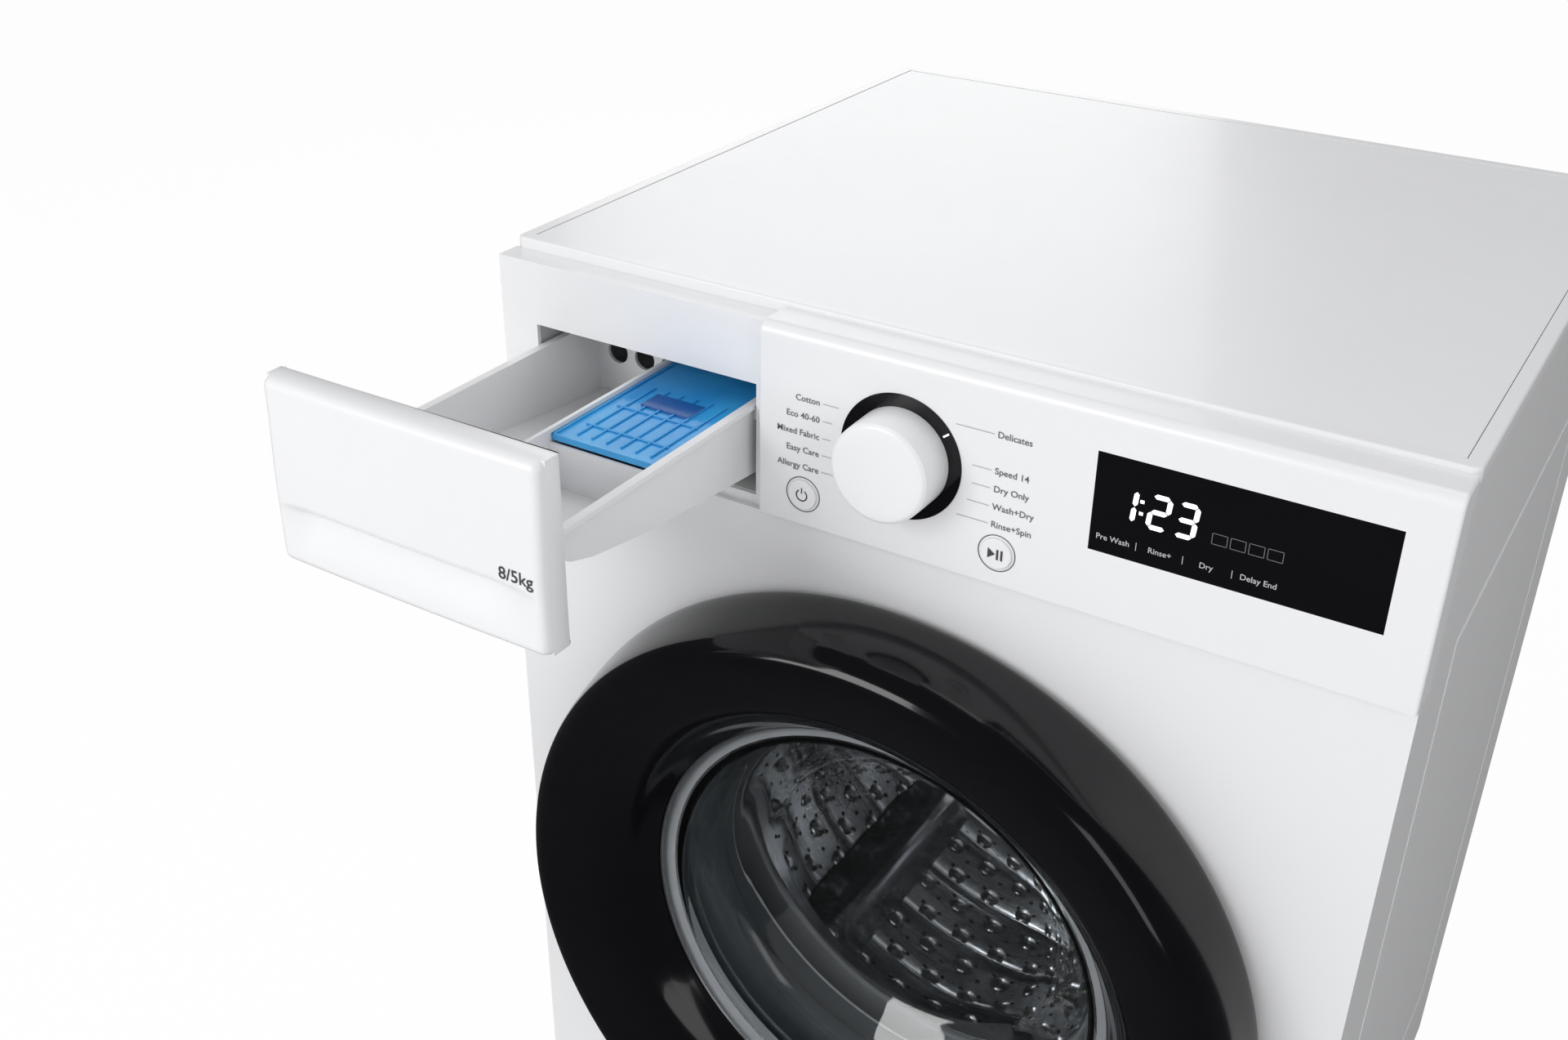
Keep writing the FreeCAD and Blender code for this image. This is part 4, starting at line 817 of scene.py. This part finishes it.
def gasket_piece():
    """Rubber bellows: lip against the bowl, clamp groove, two folds, then the tub's mouth."""
    y0, y1 = low("door_gasket")[1], high("door_gasket")[1]
    r = (high("door_gasket")[0] - low("door_gasket")[0]) / 2
    lip = r - 0.0225
    outline = eased([(lip, y0 + 0.0005), (r - 0.002, y0, 1), (r, y0 + 0.002, 1), (r, y0 + 0.016),
                     (r - 0.001, y1 - 0.046), (r - 0.0075, y1 - 0.036), (r - 0.0080, y1 - 0.028),
                     (r - 0.0030, y1 - 0.020), (r - 0.0026, y1, 1), (r - 0.0056, y1, 1),
                     (r - 0.0060, y1 - 0.018),
                     (r - 0.0110, y1 - 0.025), (r - 0.0110, y1 - 0.039), (r - 0.0045, y1 - 0.048),
                     (r - 0.0038, y0 + 0.018), (r - 0.0060, y0 + 0.0060), (r - 0.0150, y0 + 0.0042),
                     (lip + 0.0004, y0 + 0.0028)], 5)
    piece = lathe("door_bellows", outline, LOOK["grey_rubber"], turns=160, sharp_angle=50)
    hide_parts("door_gasket")
    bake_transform(piece)


def bending_copies():
    """Copies of the springs and hoses between the casing and the floating tub, in place of their CAD nodes;
    they stay where they are and do not stretch.
    """
    ends = {"suspension_springs": (2, 1), "fill_bellows": (2, 1), "sump_hose": (2, 0)}
    for node, (axis, top_fixed) in ends.items():
        piece = copy_of(node, node + "_moving")
        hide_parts(node)
        spot = middle(node)
        a, b = Vector(spot), Vector(spot)
        inset = 0.1 * (high(node)[axis] - low(node)[axis])
        a[axis] = high(node)[axis] - inset if top_fixed else low(node)[axis] + inset
        b[axis] = low(node)[axis] + inset if top_fixed else high(node)[axis] - inset
        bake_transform(piece)


# ---- drum ----------------------------------------------------------------------------------
DRUM_R = (high("drum")[0] - low("drum")[0]) / 2
DRUM_IN = DRUM_R - 0.0015
DRUM_Y0, DRUM_Y1 = low("drum")[1], high("drum")[1]


def wrap_tree(name):
    """Copies of a small shape over a cylinder that lies along Y, in staggered rows."""
    tree = bpy.data.node_groups.new(name, "GeometryNodeTree")
    face = tree.interface
    face.new_socket("Shape", in_out="INPUT", socket_type="NodeSocketObject")
    for label, kind in (("Around", "NodeSocketInt"), ("Rows", "NodeSocketInt"), ("Radius", "NodeSocketFloat"),
                        ("Start", "NodeSocketFloat"), ("End", "NodeSocketFloat")):
        face.new_socket(label, in_out="INPUT", socket_type=kind)
    face.new_socket("Material", in_out="INPUT", socket_type="NodeSocketMaterial")
    face.new_socket("Geometry", in_out="OUTPUT", socket_type="NodeSocketGeometry")
    add, link = tree.nodes.new, tree.links.new
    given, result = add("NodeGroupInput"), add("NodeGroupOutput")

    def maths(operation, *values):
        node = add("ShaderNodeMath")
        node.operation = operation
        for slot_index, value in enumerate(values):
            if isinstance(value, (int, float)):
                node.inputs[slot_index].default_value = value
            else:
                link(value, node.inputs[slot_index])
        return node.outputs[0]

    count = maths("MULTIPLY", given.outputs["Around"], given.outputs["Rows"])
    line = add("GeometryNodeMeshLine")
    link(count, line.inputs["Count"])
    index = add("GeometryNodeInputIndex").outputs[0]
    row = maths("FLOOR", maths("DIVIDE", index, given.outputs["Around"]))
    place = maths("ADD", maths("MODULO", index, given.outputs["Around"]),
                  maths("MULTIPLY", maths("MODULO", row, 2.0), 0.5))
    angle = maths("DIVIDE", maths("MULTIPLY", place, 2 * math.pi), given.outputs["Around"])
    share = maths("DIVIDE", maths("ADD", row, 0.5), given.outputs["Rows"])
    span = maths("SUBTRACT", given.outputs["End"], given.outputs["Start"])
    y = maths("ADD", given.outputs["Start"], maths("MULTIPLY", share, span))
    spot = add("ShaderNodeCombineXYZ")
    link(maths("ADD", maths("MULTIPLY", maths("COSINE", angle), given.outputs["Radius"]), DOOR_X),
         spot.inputs[0])
    link(y, spot.inputs[1])
    link(maths("ADD", maths("MULTIPLY", maths("SINE", angle), given.outputs["Radius"]), DOOR_Z),
         spot.inputs[2])
    move = add("GeometryNodeSetPosition")
    link(line.outputs[0], move.inputs["Geometry"])
    link(spot.outputs[0], move.inputs["Position"])
    inward = add("ShaderNodeCombineXYZ")
    link(maths("MULTIPLY", maths("COSINE", angle), -1.0), inward.inputs[0])
    link(maths("MULTIPLY", maths("SINE", angle), -1.0), inward.inputs[2])
    aim = add("FunctionNodeAlignEulerToVector")
    aim.axis = "Z"
    link(inward.outputs[0], aim.inputs["Vector"])
    shape = add("GeometryNodeObjectInfo")
    link(given.outputs["Shape"], shape.inputs["Object"])
    spread = add("GeometryNodeInstanceOnPoints")
    link(move.outputs[0], spread.inputs["Points"])
    link(shape.outputs["Geometry"], spread.inputs["Instance"])
    link(aim.outputs[0], spread.inputs["Rotation"])
    real, paint = add("GeometryNodeRealizeInstances"), add("GeometryNodeSetMaterial")
    link(spread.outputs[0], real.inputs[0])
    link(real.outputs[0], paint.inputs["Geometry"])
    link(given.outputs["Material"], paint.inputs["Material"])
    link(paint.outputs[0], result.inputs[0])
    return tree


def wrapped(name, tree, values, material):
    """Runs the wrapping tree and keeps its plain mesh."""
    holder = bpy.data.objects.new(name, bpy.data.meshes.new(name))
    bpy.context.scene.collection.objects.link(holder)
    repeat = holder.modifiers.new("repeat", "NODES")
    repeat.node_group = tree
    for item in tree.interface.items_tree:
        if item.in_out == "INPUT" and item.name in values:
            repeat[item.identifier] = values[item.name]
        elif item.in_out == "INPUT" and item.name == "Material":
            repeat[item.identifier] = material
    bpy.context.view_layer.update()
    mesh = bpy.data.meshes.new_from_object(holder.evaluated_get(bpy.context.evaluated_depsgraph_get()))
    holder.modifiers.clear()
    holder.data = mesh
    for polygon in mesh.polygons:
        polygon.use_smooth = True
    return holder


def low_dome(name, radius, rise, sides, rings, dip=0.0):
    """Small cap standing on Z = 0; with a dip, its crown sinks back like a pressed hole's."""
    profile = [(radius * math.cos(math.pi / 2 * k / rings), rise * math.sin(math.pi / 2 * k / rings))
               for k in range(rings)]
    vertices = [(r * math.cos(2 * math.pi * i / sides), r * math.sin(2 * math.pi * i / sides), z)
                for r, z in profile for i in range(sides)]
    vertices.append((0, 0, rise - dip))
    faces = [(k * sides + i, k * sides + (i + 1) % sides, (k + 1) * sides + (i + 1) % sides,
              (k + 1) * sides + i)
             for k in range(rings - 1) for i in range(sides)]
    top = (rings - 1) * sides
    faces += [(top + i, top + (i + 1) % sides, len(vertices) - 1) for i in range(sides)]
    faces.append(tuple(range(sides - 1, -1, -1)))
    return new_piece(name, vertices, faces, LOOK["drum_steel"])


def drum_pieces():
    """Stainless drum: curled mouth, beaded wall, pressed back, domes and drain holes."""
    y0, y1, r, m = DRUM_Y0, DRUM_Y1, DRUM_R, 0.165
    w = 0.0015
    wall = [(r - w, y0 + 0.022, 1)]
    for k in range(5):
        y = y0 + 0.040 + k * (y1 - y0 - 0.080) / 4
        wall += [(r - w, y - 0.008), (r - w - 0.0022, y), (r - w, y + 0.008)]
    outline = eased([(m, y0, 1), (m, y0 + 0.012, 1), (m + w, y0 + 0.012, 1), (m + w, y0 + 0.003),
                     (m + 0.010, y0 + 0.0036),
                     (r - 0.014, y0 + 0.0040), (r - w - 0.001, y0 + 0.013)] + wall
                    + [(r - w, y1 - 0.004, 1), (0.205, y1 - 0.003), (0.100, y1 - 0.003), (0.090, y1 - 0.006),
                       (0.074, y1 - 0.0135), (0.060, y1 - 0.0140), (0.0, y1 - 0.0140, 1),
                       (0.0, y1 - 0.0120, 1),
                       (0.060, y1 - 0.0120), (0.092, y1 - 0.002), (0.120, y1, 1), (r, y1, 1), (r, y0 + 0.010),
                       (r - 0.010, y0 + 0.0020), (m + 0.004, y0 + 0.0002)], 4)
    stands_for(lathe("drum_shell", outline, LOOK["drum_steel"], turns=160, sharp_angle=40), "drum", "drum")
    tree = wrap_tree("wrap_on_drum")
    dome = low_dome("dome_shape", 0.0085, 0.0034, 14, 4)
    hole = low_dome("hole_shape", 0.0021, 0.0004, 8, 2, 0.0004)
    span = {"Start": DRUM_Y0 + 0.030, "End": DRUM_Y1 - 0.012}
    domes = wrapped("drum_domes", tree, {"Shape": dome, "Around": 42, "Rows": 9, "Radius": DRUM_IN - 0.0001,
                                         **span},
                    LOOK["drum_steel"])
    holes = wrapped("drum_holes", tree, {"Shape": hole, "Around": 84, "Rows": 18, "Radius": DRUM_IN - 0.0001,
                                         **span},
                    LOOK["hole_dark"])
    stands_for(domes, "drum")
    stands_for(holes, "drum")
    bpy.data.objects.remove(dome)
    bpy.data.objects.remove(hole)


def lifter_pieces():
    """Paddles with rolled crests and sloping ends."""
    vertices, faces = [], []
    length0, length1 = low("drum_lifters")[1], high("drum_lifters")[1]
    section = [(-0.037, 0.0015), (-0.030, 0.0060), (-0.019, 0.0240), (-0.013, 0.0380), (-0.006, 0.0436),
               (0.0, 0.0446), (0.006, 0.0436), (0.013, 0.0380), (0.019, 0.0240), (0.030, 0.0060),
               (0.037, 0.0015)]
    stations = [(0.0, 0.30), (0.03, 0.62), (0.08, 0.88), (0.16, 0.99), (0.5, 1.0), (0.84, 0.99), (0.92, 0.88),
                (0.97, 0.62), (1.0, 0.30)]
    for index in range(3):
        turn = math.radians(120 * index + 35)
        first = len(vertices)
        for share, rise in stations:
            y = length0 + share * (length1 - length0)
            for side, tall in section:
                x = side * (0.85 + 0.15 * rise)
                z = -math.sqrt(DRUM_IN ** 2 - side ** 2) + 0.0003 + (tall - 0.0015) * rise
                vertices.append((DOOR_X + x * math.cos(turn) + z * math.sin(turn), y,
                                 DOOR_Z - x * math.sin(turn) + z * math.cos(turn)))
        n = len(section)
        for s in range(len(stations) - 1):
            faces += [(first + s * n + k, first + s * n + k + 1, first + (s + 1) * n + k + 1,
                       first + (s + 1) * n + k)
                      for k in range(n - 1)]
            faces.append((first + s * n, first + (s + 1) * n, first + (s + 2) * n - 1,
                          first + (s + 1) * n - 1))
        faces.append(tuple(first + k for k in range(n)))
        faces.append(tuple(first + (len(stations) - 1) * n + k for k in range(n - 1, -1, -1)))
    piece = new_piece("drum_paddles", vertices, faces, LOOK["drum_steel"], True, 50)
    rounding = piece.modifiers.new("rounding", "SUBSURF")
    rounding.levels = rounding.render_levels = 1
    stands_for(piece, "drum", "drum_lifters")


# ---- studio --------------------------------------------------------------------------------
def studio():
    """Pale floor, plain soft light."""
    scene = bpy.context.scene
    scene.view_settings.view_transform = "Standard"
    vertices = [(x, y, -0.0005) for x, y in ((-30, -30), (30, -30), (30, 30), (-30, 30))]
    mesh = bpy.data.meshes.new("floor")
    mesh.from_pydata(vertices, [], [(0, 1, 2, 3)])
    s = Shader("floor_paint")
    s.put(Base_Color=(0.90, 0.90, 0.90), Roughness=0.9)
    path = s.node("ShaderNodeLightPath")
    seen, mirrored = (Num(s, path.outputs[ray]) for ray in ("Is Camera Ray", "Is Glossy Ray"))
    dark = s.node("ShaderNodeEmission", None, {"Color": (1.0, 1.0, 1.0), "Strength": 0.05})
    plain = s.node("ShaderNodeMixShader")
    s.feed(plain, 0, mirrored * 1.0)
    s.tree.links.new(s.surface.outputs[0], plain.inputs[1])
    s.tree.links.new(dark.outputs[0], plain.inputs[2])
    white = s.node("ShaderNodeEmission", None, {"Color": (1.0, 1.0, 1.0), "Strength": 1.0})
    mix = s.node("ShaderNodeMixShader")
    s.feed(mix, 0, seen * 0.95)
    s.tree.links.new(plain.outputs[0], mix.inputs[1])
    s.tree.links.new(white.outputs[0], mix.inputs[2])
    s.tree.links.new(mix.outputs[0], s.tree.nodes["Material Output"].inputs["Surface"])
    mesh.materials.append(s.material)
    floor = bpy.data.objects.new("floor", mesh)
    scene.collection.objects.link(floor)

    world = bpy.data.worlds.new("studio")
    scene.world = world
    world.use_nodes = True
    nodes, links = world.node_tree.nodes, world.node_tree.links
    background = nodes["Background"]
    rays = nodes.new("ShaderNodeLightPath")

    def level(ray, base, value):
        step = nodes.new("ShaderNodeMix")
        links.new(rays.outputs[ray], step.inputs["Factor"])
        if isinstance(base, float):
            step.inputs["A"].default_value = base
        else:
            links.new(base, step.inputs["A"])
        step.inputs["B"].default_value = value
        return step.outputs["Result"]

    strength = level("Is Glossy Ray", 0.68, 0.05)
    strength = level("Is Transmission Ray", strength, 0.55)
    strength = level("Is Camera Ray", strength, 1.0)
    links.new(strength, background.inputs["Strength"])
    background.inputs["Color"].default_value = (1.0, 1.0, 1.0, 1.0)

    def lamp(name, place, target, size, power):
        data = bpy.data.lights.new(name, "AREA")
        data.shape = "RECTANGLE"
        data.size, data.size_y = size
        data.energy = power
        holder = bpy.data.objects.new(name, data)
        holder.location = place
        holder.rotation_euler = (Vector(target) - Vector(place)).to_track_quat("-Z", "Y").to_euler()
        scene.collection.objects.link(holder)

    aim = (0, 0, 0.45)
    lamp("key", (-1.3, -2.9, 1.9), aim, (1.6, 1.6), 44)
    lamp("fill", (2.4, -1.8, 1.6), aim, (0.8, 1.8), 8)
    lamp("top", (0.2, 0.9, 3.2), aim, (1.2, 1.2), 7)
    lamp("rear", (-1.5, 2.6, 1.8), aim, (1.6, 1.6), 14)


LOOK["blue_dark"] = moulded("siphon_deep_blue", (0.01, 0.11, 0.40), (0.005, 0.07, 0.28), 0.15, 0.4, 300.0,
                            0.1)
# Silver for the painted highlight ring at the door glass edge.
LOOK["bead"] = metal("bead_silver", (0.72, 0.73, 0.75), (0.55, 0.56, 0.58), 0.16)
LOOK["hole_dark"] = print_ink("hole_shadow", (0.012, 0.012, 0.013))

programme_labels()
button_print()
display_print()
knob_tick()
knob_piece()
drawer_front_piece()
siphon_piece()
door_ring_piece()
door_glass_piece()
gasket_piece()
bending_copies()
drum_pieces()
lifter_pieces()
studio()
